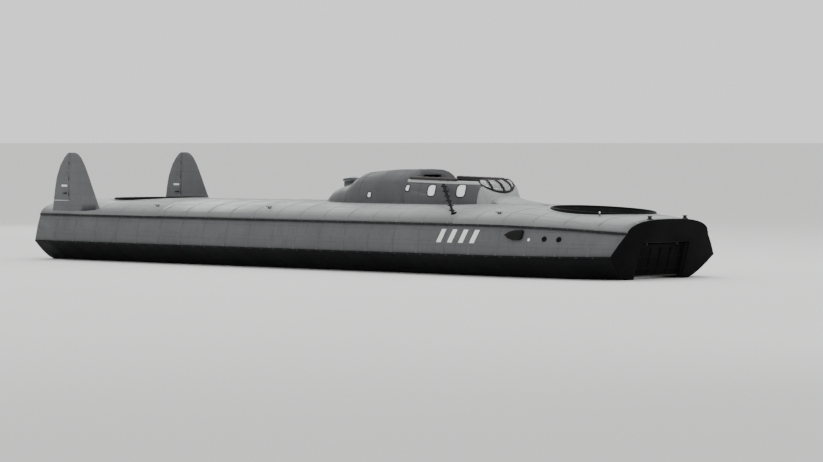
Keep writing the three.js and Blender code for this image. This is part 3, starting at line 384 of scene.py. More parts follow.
def lifted(found, height):
    """A touched place, raised along its normal."""
    place, normal = found
    return place + normal * height, normal


def found_all(finds, height=0.0):
    """The touched places among some finds, raised along their normals."""
    return [lifted(found, height) for found in finds if found]


def deck_at(x, y):
    """The deck's surface and normal over a place, or None over a well or the pit."""
    node = "deck_mid" if abs(x) <= DECK_JOINT_X else "deck_fore" if x > 0 else "deck_aft"
    found = touch(node, (x, y, 5), (0, 0, -1))
    return found if found and found[0].z > DECK_LOW_Z else None


def skin_of(name, *nodes):
    """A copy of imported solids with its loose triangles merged."""
    copies = []
    for node in nodes:
        copy = bpy.data.objects.new(f"{name}_{node}", NODES[node].data.copy())
        bpy.context.scene.collection.objects.link(copy)
        copy.data.materials.clear()
        copies.append(copy)
    piece = joined(name, copies)
    with editing(piece):
        bpy.ops.mesh.remove_doubles(threshold=0.00005)
    return piece


def strips(name, nodes, places, width, keep, thickness, slot, finish, across=(1, 0, 0), body="hull"):
    """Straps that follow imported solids: their skin near some planes, made thicker."""
    piece = skin_of(name, *nodes)
    across = Vector(across).normalized()
    spans = [(place - width / 2, place + width / 2) for place in places]
    with editing(piece):
        for span in spans:
            for distance in span:
                bpy.ops.mesh.select_all(action="SELECT")
                bpy.ops.mesh.bisect(plane_co=across * distance, plane_no=across)

        def spare(face):
            centre = face.calc_center_median()
            along = centre.dot(across)
            inside = any(low < along < high for low, high in spans)
            return not (inside and keep(centre, face.normal))

        pick(piece, "faces", spare)
        bpy.ops.mesh.delete(type="FACE")
    modify(piece, "SOLIDIFY", thickness=thickness, offset=1.0)
    return kept(smooth(piece), slot, finish, body=body)


def kept(piece, slot, *finishes, body="hull", replaces=()):
    """Gives a finished piece its body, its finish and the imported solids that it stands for."""
    for finish in finishes:
        piece.data.materials.append(paint(finish))
    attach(piece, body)
    if replaces:
        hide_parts(*replaces)
    return piece


def fitted(name, parts, slot, finish, body="hull"):
    """Parts joined into one finished piece."""
    return kept(joined(name, parts), slot, finish, body=body)


def body_of(node):
    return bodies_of(NODES[node])[0]


def repaint(piece, choose, *finishes):
    """Adds finishes, and gives each face the one whose number choose returns."""
    for finish in finishes:
        piece.data.materials.append(paint(finish))
    for face in piece.data.polygons:
        face.material_index = int(choose(face))


def dressed(node, slot, finish, bevel=0.0, angle=35):
    """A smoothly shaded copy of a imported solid, which stands for it."""
    piece = skin_of(f"{node}_dressed", node)
    if bevel:
        rounded(piece, bevel, angle)
    else:
        smooth(piece, angle)
    return kept(piece, slot, finish, body=body_of(node), replaces=[node])


# Paints and other finishes


class Web:
    """Adds nodes to one tree, each with its inputs given as values or as other nodes' outputs."""

    def __init__(self, tree):
        self.tree = tree

    def add(self, kind, inputs=None, **settings):
        node = self.tree.nodes.new("ShaderNode" + kind)
        for key, value in settings.items():
            setattr(node, key, value)
        for key, value in (inputs or {}).items():
            self.feed(node.inputs[key], value)
        return node

    def feed(self, socket, value):
        if isinstance(value, bpy.types.NodeSocket):
            self.tree.links.new(value, socket)
        else:
            socket.default_value = value

    def times(self, one, other):
        return self.add("Math", {0: one, 1: other}, operation="MULTIPLY").outputs[0]

    def plus(self, one, other):
        return self.add("Math", {0: one, 1: other}, operation="ADD").outputs[0]

    def blend(self, share, under, over, way="MIX"):
        return self.add("Mix", {0: share, 6: under, 7: over}, data_type="RGBA",
                        blend_type=way).outputs[2]

    def noise(self, vector, scale, detail=3.0, rough=0.5):
        return self.add("TexNoise", {"Vector": vector, "Scale": scale, "Detail": detail,
                                     "Roughness": rough}).outputs[0]

    def spread(self, value, low, high, to_low=0.0, to_high=1.0):
        """A value's range from low to high drawn out to another range."""
        return self.add("MapRange", {"Value": value, "From Min": low, "From Max": high,
                                     "To Min": to_low, "To Max": to_high}).outputs[0]

    def mapped(self, vector, scale=(1, 1, 1), turn=(0, 0, 0), shift=(0, 0, 0)):
        return self.add("Mapping", {"Vector": vector, "Scale": scale, "Rotation": turn,
                                    "Location": shift}).outputs[0]


def effect(name, inputs, outputs, build):
    """A shader node group, built once and shared by the materials that use it."""
    tree = bpy.data.node_groups.get(name)
    if tree:
        return tree
    tree = bpy.data.node_groups.new(name, "ShaderNodeTree")
    for label, kind, value in inputs:
        socket = tree.interface.new_socket(name=label, in_out="INPUT", socket_type=kind)
        if value is not None:
            socket.default_value = value
    for label, kind in outputs:
        tree.interface.new_socket(name=label, in_out="OUTPUT", socket_type=kind)
    given = tree.nodes.new("NodeGroupInput").outputs
    result = tree.nodes.new("NodeGroupOutput").inputs
    build(Web(tree), given, result)
    return tree


FLOAT, VECTOR = "NodeSocketFloat", "NodeSocketVector"


def plating():
    """Riveted plates: a tone for each plate, the seams between them, and their slight dishing."""

    def build(web, given, result):
        brick = web.add("TexBrick", {
            "Vector": given["Vector"], "Color1": (0, 0, 0, 1), "Color2": (1, 1, 1, 1),
            "Mortar": (0.5, 0.5, 0.5, 1), "Scale": 1.0, "Mortar Size": 0.006,
            "Mortar Smooth": 0.3, "Brick Width": given["Plate Length"],
            "Row Height": given["Plate Width"]}, offset=0.5)
        web.feed(result["Tone"], brick.outputs["Color"])
        web.feed(result["Seam"], brick.outputs["Fac"])
        web.feed(result["Dish"], web.noise(given["Vector"], 1.7, 2.0))

    return effect(
        "Plating",
        [("Vector", VECTOR, None), ("Plate Length", FLOAT, 2.0), ("Plate Width", FLOAT, 0.6)],
        [("Tone", FLOAT), ("Seam", FLOAT), ("Dish", FLOAT)], build)


def weather():
    """What sun, salt and rain leave: soft blotches, runs down the sides and a fine grain."""

    def build(web, given, result):
        blotch = web.noise(given["Vector"], given["Blotch Scale"], 6.0, 0.6)
        web.feed(result["Blotch"], web.spread(blotch, 0.35, 0.7))
        drawn = web.mapped(given["Vector"], scale=(9, 9, 0.5))
        run = web.noise(drawn, 1.0, 5.0, 0.65)
        web.feed(result["Run"], web.spread(run, 0.5, 0.78))
        web.feed(result["Grain"], web.noise(given["Vector"], 70.0, 3.0))

    return effect("Weather", [("Vector", VECTOR, None), ("Blotch Scale", FLOAT, 0.8)],
                  [("Blotch", FLOAT), ("Run", FLOAT), ("Grain", FLOAT)], build)


def edge_wear():
    """Where corners have rubbed through, broken up by noise."""

    def build(web, given, result):
        soft = web.add("Bevel", {"Radius": given["Reach"]}, samples=4).outputs[0]
        true = web.add("NewGeometry").outputs["Normal"]
        facing = web.add("VectorMath", {0: soft, 1: true}, operation="DOT_PRODUCT").outputs["Value"]
        edge = web.spread(facing, 0.97, 0.8)
        rough = web.spread(web.noise(given["Vector"], 9.0, 5.0, 0.7), 0.45, 0.62)
        web.feed(result["Wear"], web.times(edge, rough))

    return effect("Edge wear", [("Vector", VECTOR, None), ("Reach", FLOAT, 0.008)],
                  [("Wear", FLOAT)], build)


def new_finish(name):
    """A new material with its web of nodes, its Principled shader and object coordinates."""
    finish = bpy.data.materials.new(name)
    finish.use_nodes = True
    web = Web(finish.node_tree)
    shader = finish.node_tree.nodes["Principled BSDF"]
    return finish, web, shader, web.add("TexCoord").outputs["Object"]


def shaded(colour, factor):
    return (*[channel * factor for channel in colour[:3]], 1)


FLAT, UPRIGHT = (0, 0, 0), (-math.pi / 2, 0, 0)
SEAM_SHIFT = 0.05  # keeps a painted seam from lying in the plane of the transom


def surface(web, shader, colour, rough, height=None, strength=0.0, distance=0.0):
    """Feeds a shader its colour, its roughness and its bump."""
    web.feed(shader.inputs["Base Color"], colour)
    web.feed(shader.inputs["Roughness"], rough)
    if height is not None:
        bump = web.add("Bump", {"Height": height, "Strength": strength, "Distance": distance})
        web.feed(shader.inputs["Normal"], bump.outputs[0])


def sheet_paint(name, colour, lie=FLAT, plates=(2.0, 0.62), runs=0.25, blotches=0.25,
                tones=0.3, wear=0.5, rough=(0.42, 0.62), gloss=0.4, painted_slope_shade=0.0):
    """Paint on riveted sheet metal, with painted shade where a deck slopes down to its rail: its
    steep faces low down are darkened as if lit only from above.
    """
    finish, web, shader, place = new_finish(name)
    shader.inputs["Specular IOR Level"].default_value = gloss
    sheet = web.add("Group", node_tree=plating())
    web.feed(sheet.inputs["Vector"], web.mapped(place, turn=lie, shift=(SEAM_SHIFT, 0, 0)))
    web.feed(sheet.inputs["Plate Length"], plates[0])
    web.feed(sheet.inputs["Plate Width"], plates[1])
    age = web.add("Group", {"Vector": place}, node_tree=weather())
    rubbed = web.add("Group", {"Vector": place, "Reach": 0.008}, node_tree=edge_wear())
    tone = web.times(sheet.outputs["Tone"], tones)
    shade = web.blend(tone, shaded(colour, 0.93), shaded(colour, 1.16))
    for output, share, darker in (("Blotch", blotches, 0.68), ("Run", runs, 0.5)):
        stain = web.times(age.outputs[output], share)
        shade = web.blend(stain, shade, shaded(colour, darker))
    # painted shade: steep faces below 1.8 m, where a deck slopes down to its rail, are darkened
    # towards 0.3 of the colour
    if painted_slope_shade:
        facing = web.add("SeparateXYZ", {"Vector": web.add("NewGeometry").outputs["Normal"]})
        level = web.add("SeparateXYZ", {"Vector": place})
        steep = web.spread(facing.outputs["Z"], 0.85, 0.985, painted_slope_shade, 0)
        low = web.spread(level.outputs["Z"], 1.55, 1.8, 1, 0)
        shade = web.blend(web.times(steep, low), shade, shaded(colour, 0.3))
    seam = web.times(sheet.outputs["Seam"], 0.45)
    shade = web.blend(seam, shade, shaded(colour, 0.35))
    bare = web.times(rubbed.outputs["Wear"], wear)
    web.feed(shader.inputs["Metallic"], web.times(bare, 0.8))
    seams = web.times(sheet.outputs["Seam"], -0.6)
    height = web.plus(seams, web.times(sheet.outputs["Dish"], 1.6))
    height = web.plus(height, web.times(age.outputs["Grain"], 0.03))
    surface(web, shader, web.blend(bare, shade, (0.42, 0.43, 0.43, 1)),
            web.spread(age.outputs["Blotch"], 0, 1, *rough), height, 0.5, 0.006)
    return finish


def cast_metal(name, colour, metallic=0.7, rough=(0.35, 0.6), gloss=0.5):
    """Cast or forged metal with a sandy grain and oil stains."""
    finish, web, shader, place = new_finish(name)
    shader.inputs["Metallic"].default_value = metallic
    shader.inputs["Specular IOR Level"].default_value = gloss
    age = web.add("Group", {"Vector": place, "Blotch Scale": 6.0}, node_tree=weather())
    rubbed = web.add("Group", {"Vector": place, "Reach": 0.004}, node_tree=edge_wear())
    stain = web.times(age.outputs["Blotch"], 0.4)
    shade = web.blend(stain, colour, shaded(colour, 0.4))
    surface(web, shader, web.blend(rubbed.outputs["Wear"], shade, shaded(colour, 1.9)),
            web.spread(age.outputs["Blotch"], 0, 1, rough[1], rough[0]),
            web.noise(place, 90.0, 2.0), 0.25, 0.002)
    return finish


def brushed_metal(name, colour, along=(3, 60, 60)):
    """Bare metal with the lines of its polishing."""
    finish, web, shader, place = new_finish(name)
    shader.inputs["Metallic"].default_value = 1.0
    lines = web.noise(web.mapped(place, scale=along), 4.0, 6.0, 0.7)
    age = web.add("Group", {"Vector": place, "Blotch Scale": 3.0}, node_tree=weather())
    shade = web.blend(web.spread(lines, 0.3, 0.7), shaded(colour, 0.82), shaded(colour, 1.1))
    stain = web.times(age.outputs["Blotch"], 0.35)
    surface(web, shader, web.blend(stain, shade, shaded(colour, 0.5)),
            web.spread(lines, 0.3, 0.7, 0.22, 0.42), lines, 0.15, 0.001)
    return finish


def leather(name, colour):
    """Hide with a pebbled grain, creases and a worn, lighter crown."""
    finish, web, shader, place = new_finish(name)
    grain = web.add("TexVoronoi", {"Vector": place, "Scale": 260.0}).outputs["Distance"]
    crease = web.noise(web.mapped(place, scale=(1, 2.4, 1)), 14.0, 6.0, 0.7)
    age = web.add("Group", {"Vector": place, "Blotch Scale": 5.0}, node_tree=weather())
    shade = web.blend(age.outputs["Blotch"], shaded(colour, 0.8), shaded(colour, 1.5))
    dark = web.spread(crease, 0.56, 0.66)
    shade = web.blend(web.times(dark, 0.6), shade, shaded(colour, 0.35))
    height = web.plus(web.times(grain, 0.5), web.times(crease, 1.5))
    surface(web, shader, shade, web.spread(age.outputs["Blotch"], 0, 1, 0.62, 0.42), height,
            0.45, 0.002)
    return finish


def rubber(name, colour):
    """Hard black rubber, dulled and chalky in places."""
    finish, web, shader, place = new_finish(name)
    chalk = web.spread(web.noise(place, 8.0, 5.0, 0.65), 0.45, 0.75)
    surface(web, shader, web.blend(chalk, colour, shaded(colour, 2.6)),
            web.spread(chalk, 0, 1, 0.5, 0.75), web.noise(place, 180.0, 2.0), 0.2, 0.001)
    return finish


def boards(name, colour):
    """Oiled planks with their grain along the boat."""
    finish, web, shader, place = new_finish(name)
    grain = web.noise(web.mapped(place, scale=(1.2, 26, 26)), 3.0, 8.0, 0.7)
    knots = web.noise(web.mapped(place, scale=(1, 5, 5)), 2.0, 3.0)
    shade = web.blend(web.spread(grain, 0.35, 0.65), shaded(colour, 0.65), shaded(colour, 1.3))
    surface(web, shader, web.blend(web.spread(knots, 0.6, 0.75), shade, shaded(colour, 0.45)),
            web.spread(grain, 0.3, 0.7, 0.5, 0.72), grain, 0.3, 0.002)
    return finish


def glass(name, tint, through, rough):
    """Glass with a film of salt on it."""
    finish, web, shader, place = new_finish(name)
    shader.inputs["Transmission Weight"].default_value = through
    shader.inputs["IOR"].default_value = 1.45
    film = web.spread(web.noise(place, 7.0, 5.0, 0.6), 0.4, 0.75)
    surface(web, shader, web.blend(film, tint, shaded(tint, 0.9)),
            web.spread(film, 0, 1, rough, rough + 0.12))
    return finish


def plain_enamel(name, colour, rough=0.4):
    """Brushed enamel on small fittings."""
    finish, web, shader, place = new_finish(name)
    patch = web.noise(place, 20.0, 4.0, 0.6)
    surface(web, shader, web.blend(web.spread(patch, 0.4, 0.7), colour, shaded(colour, 0.8)),
            web.spread(patch, 0.3, 0.7, rough, rough + 0.2), patch, 0.15, 0.001)
    return finish


def mix_paint(name):
    """Makes one finish from the colours in the panel."""
    tints = bpy.context.scene.boat_colours

    def tint(field):
        return (*getattr(tints, field), 1)

    recipes = {
        # the deck's paint carries painted shade on its steep faces by the rails
        "Deck paint": lambda: sheet_paint(
            name, tint("deck"), FLAT, (2.0, 0.7), blotches=0.4, painted_slope_shade=0.7),
        "Side paint": lambda: sheet_paint(
            name, tint("side"), UPRIGHT, (2.0, 0.42), runs=0.5, blotches=0.45, tones=0.15),
        "Bottom paint": lambda: sheet_paint(
            name, tint("bottom"), FLAT, (2.0, 0.5), runs=0.2, blotches=0.4, tones=0.4, wear=0.15,
            rough=(0.6, 0.8), gloss=0.08),
        "Tunnel paint": lambda: sheet_paint(
            name, shaded(tint("side"), 0.8), FLAT, (1.0, 0.5), runs=0.2, blotches=0.5),
        "Cabin paint": lambda: sheet_paint(
            name, tint("cabin"), UPRIGHT, (1.3, 0.5), runs=0.35, blotches=0.35, tones=0.2),
        "Fin paint": lambda: sheet_paint(
            name, tint("fin"), UPRIGHT, (0.9, 0.34), runs=0.3, blotches=0.2, tones=0.25),
        "Lining paint": lambda: sheet_paint(
            name, shaded(tint("cabin"), 1.5), UPRIGHT, (0.8, 0.4), runs=0.1, blotches=0.2),
        "Black paint": lambda: sheet_paint(
            name, tint("bow"), UPRIGHT, (1.1, 0.4), runs=0.5, blotches=0.5, tones=0.5, wear=0.12,
            rough=(0.6, 0.8), gloss=0.06),
        "Well paint": lambda: sheet_paint(
            name, tint("bow"), FLAT, (0.6, 0.3), runs=0.3, blotches=0.5, tones=0.5, wear=0.15,
            rough=(0.6, 0.8), gloss=0.12),
        "Trim paint": lambda: sheet_paint(
            name, tint("trim"), UPRIGHT, (3.0, 2.0), runs=0.1, blotches=0.3, tones=0, wear=0.18,
            rough=(0.5, 0.7), gloss=0.2),
        "Rim paint": lambda: sheet_paint(
            name, shaded(tint("deck"), 1.15), FLAT, (4.0, 3.0), runs=0.1, blotches=0.15, tones=0),
        "White paint": lambda: plain_enamel(name, (0.72, 0.72, 0.7, 1)),
        "Engine metal": lambda: cast_metal(name, (0.075, 0.078, 0.082, 1)),
        "Bright steel": lambda: brushed_metal(name, (0.5, 0.5, 0.5, 1)),
        "Blade metal": lambda: brushed_metal(name, (0.42, 0.43, 0.44, 1), (60, 3, 60)),
        "Burnt steel": lambda: cast_metal(
            name, (0.006, 0.0055, 0.005, 1), 0.0, (0.6, 0.85), gloss=0.15),
        "Brass": lambda: brushed_metal(name, (0.45, 0.3, 0.12, 1)),
        "Leather": lambda: leather(name, tint("leather")),
        "Rubber": lambda: rubber(name, (0.012, 0.012, 0.012, 1)),
        "Boards": lambda: boards(name, (0.11, 0.08, 0.055, 1)),
        "Black enamel": lambda: plain_enamel(name, (0.012, 0.012, 0.012, 1)),
        "Dial white": lambda: plain_enamel(name, (0.6, 0.59, 0.54, 1), 0.55),
        "Screen glass": lambda: glass(name, (0.93, 0.95, 0.95, 1), 0.85, 0.03),
        # near-white and mostly not see-through, so the panes read bright: painted reflection of a
        # bright sky
        "Window glass": lambda: glass(name, (0.98, 0.99, 0.99, 1), 0.2, 0.1),
    }
    return recipes[name]()


def paint(name):
    return bpy.data.materials.get(name) or mix_paint(name)


# Hull


DECKS = ("deck_fore", "deck_mid", "deck_aft")
FLOATS = ("float_port", "float_starboard")
FRAME_XS = [float(x) for x in range(-11, 12)]
LAP_YS = (-1.9, -1.25, -0.55, 0.55, 1.25, 1.9)
SIDE_LAP_Z = 0.98
PIT_AFT_X, PIT_FORE_X, PIT_HALF_WIDTH, PIT_TOP_Z = 0.44, 5.56, 0.885, 2.0


def in_pit(centre):
    inside = PIT_AFT_X < centre.x < PIT_FORE_X and abs(centre.y) < PIT_HALF_WIDTH
    return inside and centre.z < PIT_TOP_Z


def toward_bow(x):
    """Nothing up to X = 7, then more with the square of the way forward, and 1 at the bow."""
    return max(0.0, (x - 7) / 5) ** 2


def toward_stern(x):
    """Nothing up to X = -9, then more with the square of the way aft, and 1 at the stern."""
    return max(0.0, (-9 - x) / 3) ** 2


def dress_decks():
    """The decks, with another finish in the pit and under the tunnel's roof."""

    def choose(face):
        if face.center.z < TUNNEL_ROOF_Z + 0.01 and face.normal.z < -0.5:
            return 2
        low = face.center.z < PIT_FLOOR_Z + 0.05
        return in_pit(face.center) and (low or abs(face.normal.z) < 0.05)

    for node in DECKS:
        repaint(dressed(node, "deck_paint", "Deck paint"), choose, "Lining paint", "Tunnel paint")


def dress_floats():
    """The floats, painted to the chine and black below it and toward the tunnel, and the ends."""

    def dark(face):
        inward = face.normal.y * face.center.y < 0 and abs(face.normal.y) > 0.3
        return face.normal.z < -0.15 or inward

    for side in SIDES:
        repaint(dressed(f"float_{side}", "hull_paint", "Side paint"), dark, "Bottom paint")
        dressed(f"rub_rail_{side}", "dark_trim", "Trim paint", 0.006, 30)
        dressed(f"chine_rail_{side}", "hull_paint", "Bottom paint", 0.004, 30)
    dressed("bow_fascia", "black_paint", "Black paint", 0.006, 40)
    dressed("stern_transom", "hull_paint", "Side paint", 0.006, 40)


def strap_hull():
    """Doubling straps over the frames and the lengthwise laps."""
    finish = bpy.context.scene.boat_hull
    width, thick = finish.strap_width, finish.strap_thickness

    def on_top(centre, normal):
        return normal.z > 0.12 and centre.z > DECK_LOW_Z and not in_pit(centre)

    def beside(centre, normal):
        return normal.y * centre.y > 0 and abs(normal.y) > 0.8 and centre.z > CHINE_Z + 0.02

    def below(centre, normal):
        return normal.z < -0.2 and normal.y * centre.y > 0 and centre.z > 0.06

    strips("deck_frames", DECKS, FRAME_XS, width, on_top, thick, "deck_paint", "Deck paint")
    strips("deck_laps", DECKS, LAP_YS, width * 0.8, on_top, thick * 0.7, "deck_paint",
           "Deck paint", (0, 1, 0))
    strips("side_frames", FLOATS, FRAME_XS, width, beside, thick, "hull_paint", "Side paint")
    strips("side_laps", FLOATS, [SIDE_LAP_Z], width * 0.7, beside, thick * 0.7, "hull_paint",
           "Side paint", (0, 0, 1))
    strips("bottom_frames", FLOATS, FRAME_XS[:-1], width, below, thick, "black_paint",
           "Bottom paint")


def spaced(low, high, step):
    count = max(1, round((high - low) / step))
    return [low + (high - low) * i / count for i in range(count + 1)]


def rivet_hull():
    """Rows of rivets along the straps of the deck and the sides."""
    finish = bpy.context.scene.boat_hull
    proud, edge = finish.strap_thickness, finish.strap_width * 0.32
    deck_places, side_places = [], []
    for x in FRAME_XS:
        narrow = 0.86 * toward_bow(x) + 0.14 * toward_stern(x)
        for at_x in (x - edge, x + edge):
            for angle in spaced(math.radians(12), math.radians(168), math.radians(3.1)):
                across = math.copysign(abs(math.cos(angle)) ** (2 / 3), math.cos(angle))
                deck_places += found_all([deck_at(at_x, across * (2.4 - narrow))], proud)
            for side, sign in SIDES.items():
                for z in spaced(CHINE_Z + 0.1, 1.33, 0.095):
                    found = abeam(f"float_{side}", at_x, z, sign)
                    if found and abs(found[1].y) > 0.8 and not (z > 1.1 and x > 10.5):
                        side_places.append(lifted(found, proud))
    for y in LAP_YS:
        finds = [deck_at(x, y) for x in spaced(-11.85, 11.3, 0.125) if abs(y) < 1.2 or x < 10.2]
        deck_places += found_all(finds, proud * 0.6)
    for side, sign in SIDES.items():
        finds = [abeam(f"float_{side}", x, SIDE_LAP_Z, sign) for x in spaced(-11.85, 11.1, 0.125)]
        side_places += found_all(finds, proud * 0.6)
    kept(rivets("deck_rivets", deck_places, finish.rivet_size), "deck_paint", "Deck paint")
    kept(rivets("side_rivets", side_places, finish.rivet_size), "hull_paint", "Side paint")


def bolt_rails():
    """Bolts through the rub rails and the chine rails, which both run off level at the bow."""
    finds = []
    for side, sign in SIDES.items():
        for x in spaced(-11.8, 11.2, 0.5):
            finds.append(abeam(f"rub_rail_{side}", x, 1.41 - 0.17 * toward_bow(x), sign))
            finds.append(abeam(f"chine_rail_{side}", x, 0.575 + 0.046 * toward_bow(x), sign))
    kept(rivets("rail_bolts", found_all(finds), 0.017), "dark_trim", "Engine metal")


def rib_tunnel():
    """Cross ribs and stringers under the tunnel's roof, clear of the vane frames."""
    top = TUNNEL_ROOF_Z
    clear = [(8.4, 10.75), (-10.05, -7.75)]
    xs = [x for x in FRAME_XS if not any(low < x < high for low, high in clear) and x < 11]
    rib = joined("rib", [
        block("rib", (-0.012, -1.47, top - 0.07), (0.012, 1.47, top), 0.002),
        block("rib_foot", (-0.035, -1.46, top - 0.078), (0.035, 1.46, top - 0.07), 0.001)])
    stringer = block("stringer", (-7.7, -0.01, top - 0.045), (8.35, 0.01, top), 0.002)
    parts = row_of(rib, [(x, 0, 0) for x in xs])
    parts += row_of(stringer, [(0, y, 0) for y in (-1.1, -0.37, 0.37, 1.1)])
    fitted("tunnel_ribs", parts, "hull_paint", "Tunnel paint")


def mark_sides():
    """Plain white bars in a row, a white spot, and round ports, on both sides."""
    first_x, bar_long, bar_step, bar_slant = 5.72, 0.17, 0.42, 0.36
    bar_foot, knuckle, bar_head = 0.92, 0.99, 1.28
    for side, sign in SIDES.items():
        node = f"float_{side}"
        bars = []
        for i in range(4):
            for low, high in ((bar_foot, knuckle), (knuckle, bar_head)):
                outline = []
                for along, z in ((0, low), (bar_long, low), (bar_long, high), (0, high)):
                    x = first_x + bar_step * i + along + bar_slant * (z - bar_foot)
                    outline.append(lifted(abeam(node, x, z, sign), 0.003)[0])
                bars.append(plate("bar", outline, (0, 0.004 * sign, 0)))
        fitted(f"side_bars_{side}", bars, "hull_paint", "White paint")
        spot = turned(f"side_spot_{side}",
                      [(0, 0.007), (0.036, 0.007), (0.042, 0.003), (0.042, -0.002)],
                      *abeam(node, 9.04, 1.05, sign), 24)
        kept(spot, "hull_paint", "White paint")
        rims, holes = [], []
        for x, z in ((9.54, 1.075), (10.0, 1.07)):
            place, normal = abeam(node, x, z, sign)
            rims.append(turned("port_rim", [(0.05, -0.004), (0.05, 0.012), (0.058, 0.018),
                                            (0.07, 0.018), (0.078, 0.008), (0.078, -0.004)],
                               place, normal, 28))
            rims.append(rivets("port_bolt", ring_of(place, normal, 0.064, 6, 0.017), 0.006))
            holes.append(turned("port_hole", [(0, 0.012), (0.051, 0.012), (0.051, -0.006)],
                                place, normal, 28))
        fitted(f"port_rims_{side}", rims, "dark_trim", "Black paint")
        fitted(f"port_holes_{side}", holes, "black_paint", "Black paint")


def dress_ends():
    """Stiffeners on the transom, and rows of rivets on it and on the bow."""
    ribs = []
    for y in (-1.9, -1.2, -0.6, 0, 0.6, 1.2, 1.9):
        low_z = 1.04 if abs(y) < 1.6 else 0.35
        top_z = 1.45 if abs(y) > 1.8 else 1.72
        ribs.append(block("rib", (-12.028, y - 0.02, low_z), (-11.998, y + 0.02, top_z), 0.004))
    fitted("transom_ribs", ribs, "hull_paint", "Side paint")
    finds = []
    for node, x, half, reach, z in (("bow_fascia", 14, 1.25, 1.3, 1.075),
                                    ("bow_fascia", 14, 1.25, 1.1, 1.49),
                                    ("stern_transom", -14, 2.2, 2.3, 1.06),
                                    ("stern_transom", -14, 2.2, 1.9, 1.4)):
        finds += [touch(node, (x, y, z), (-x, 0, 0)) for y in spaced(-half, half, 0.11)
                  if abs(y) < reach]
    kept(rivets("end_rivets", found_all(finds), 0.011), "black_paint", "Black paint")


FLAPS = {
    # the hinge's station, half the width, the lean for each metre down, ribs, slot and finish
    "bow_flap": (11.64, 0.93, 0.3, 5, "black_paint", "Black paint"),
    "stern_flap": (-11.89, 1.48, 0.0, 7, "hull_paint", "Side paint"),
}


def dress_flaps():
    """The tunnel's end flaps and their beams, with ribs, rails and a rubber lip."""
    for node in FLAPS:
        dressed(f"{node}_beam", "dark_trim", "Trim paint", 0.003)
    for node, (hinge_x, half, lean, count, slot, finish) in FLAPS.items():
        dressed(node, slot, finish, 0.003)
        body, face_x = body_of(node), hinge_x + 0.016
        parts = []
        for i in range(count):
            y = -half + 0.12 + (2 * half - 0.24) * i / (count - 1)
            top, foot = (face_x - lean * 0.1, y, 0.84), (face_x - lean * 0.8, y, 0.14)
            outline = [top, (top[0] + 0.028, y, 0.84), (foot[0] + 0.028, y, 0.17), foot]
            parts.append(plate("flap_rib", outline, (0, 0.022, 0), 0.003))
        for z in (0.3, 0.62):
            x = face_x + 0.001 - lean * (0.94 - z)
            parts.append(block("flap_rail", (x, -half + 0.05, z - 0.018),
                               (x + 0.014, half - 0.05, z + 0.018), 0.003))
        fitted(f"{node}_ribs", parts, slot, finish, body)
        x, end = hinge_x - lean * 0.85, half - 0.004
        lip = bar(f"{node}_lip", (x, -end, 0.092), (x, end, 0.092), 0.024, sides=12)
        kept(lip, "black_rubber", "Rubber", body=body)


# Wells: ducts, engines, airscrews and vanes


def deck_ring(x, radius, count, first=0.0):
    """The deck's places and normals in a ring round a well."""
    angles = [2 * math.pi * (i + first) / count for i in range(count)]
    return found_all(deck_at(x + radius * math.cos(angle), radius * math.sin(angle))
                     for angle in angles)


def dress_duct(name):
    """The funnel with its rolled rim, ribs round its throat, and a bead and rivets round it."""
    x, rim_z, slope = (WELLS[name][key] for key in ("x", "rim_z", "slope"))
    dressed(f"duct_{name}", "black_paint", "Well paint", angle=40)
    rim = torus(f"duct_rim_{name}", 1.415, 0.031, (x, 0, rim_z + 0.017), 96, 12,
                (0, -math.atan(slope), 0))
    kept(rim, "black_paint", "Well paint")
    post = block("duct_rib", (x + DUCT_INNER_R - 0.035, -0.012, 1.5),
                 (x + DUCT_INNER_R + 0.002, 0.012, 1.6), 0.003)
    with editing(post):
        pick(post, "verts", lambda vertex: vertex.co.z > 1.55)
        bpy.ops.transform.translate(value=(0, 0, rim_z - 1.66))
    ribs = [round_and_round("duct_rib", post, 24, (x, 0, 0))]
    for radius, z in ((DUCT_INNER_R - 0.006, 1.52), (THROAT_R - 0.004, 1.13),
                      (THROAT_R - 0.004, 1.03)):
        ribs.append(torus("duct_ring", radius, 0.014, (x, 0, z), 72, 8))
    fitted(f"duct_ribs_{name}", ribs, "black_paint", "Well paint")
    bead = [place for place, _ in deck_ring(x, 1.487, 64)]
    kept(pipe(f"well_bead_{name}", bead, 0.026, 12, closed=True), "deck_paint", "Rim paint")
    kept(rivets(f"well_rivets_{name}", deck_ring(x, 1.53, 60, 0.5), 0.013), "deck_paint",
         "Deck paint")


CYLINDERS = 9


def engine_profile(cylinder_z, top, leg_z):
    """The crankcase's outline, from its top to its foot, as [radius, height] pairs."""
    return [
        (0.0, top), (0.085, top), (0.092, top - 0.008), (0.098, top - 0.055), (0.16, top - 0.075),
        (0.205, top - 0.12), (0.21, top - 0.14), (0.29, cylinder_z + 0.12),
        (0.33, cylinder_z + 0.095), (0.335, cylinder_z + 0.085), (0.335, cylinder_z - 0.1),
        (0.33, cylinder_z - 0.11), (0.285, leg_z - 0.03), (0.275, leg_z - 0.05),
        (0.16, leg_z - 0.14), (0.15, leg_z - 0.165), (0.0, leg_z - 0.17),
    ]


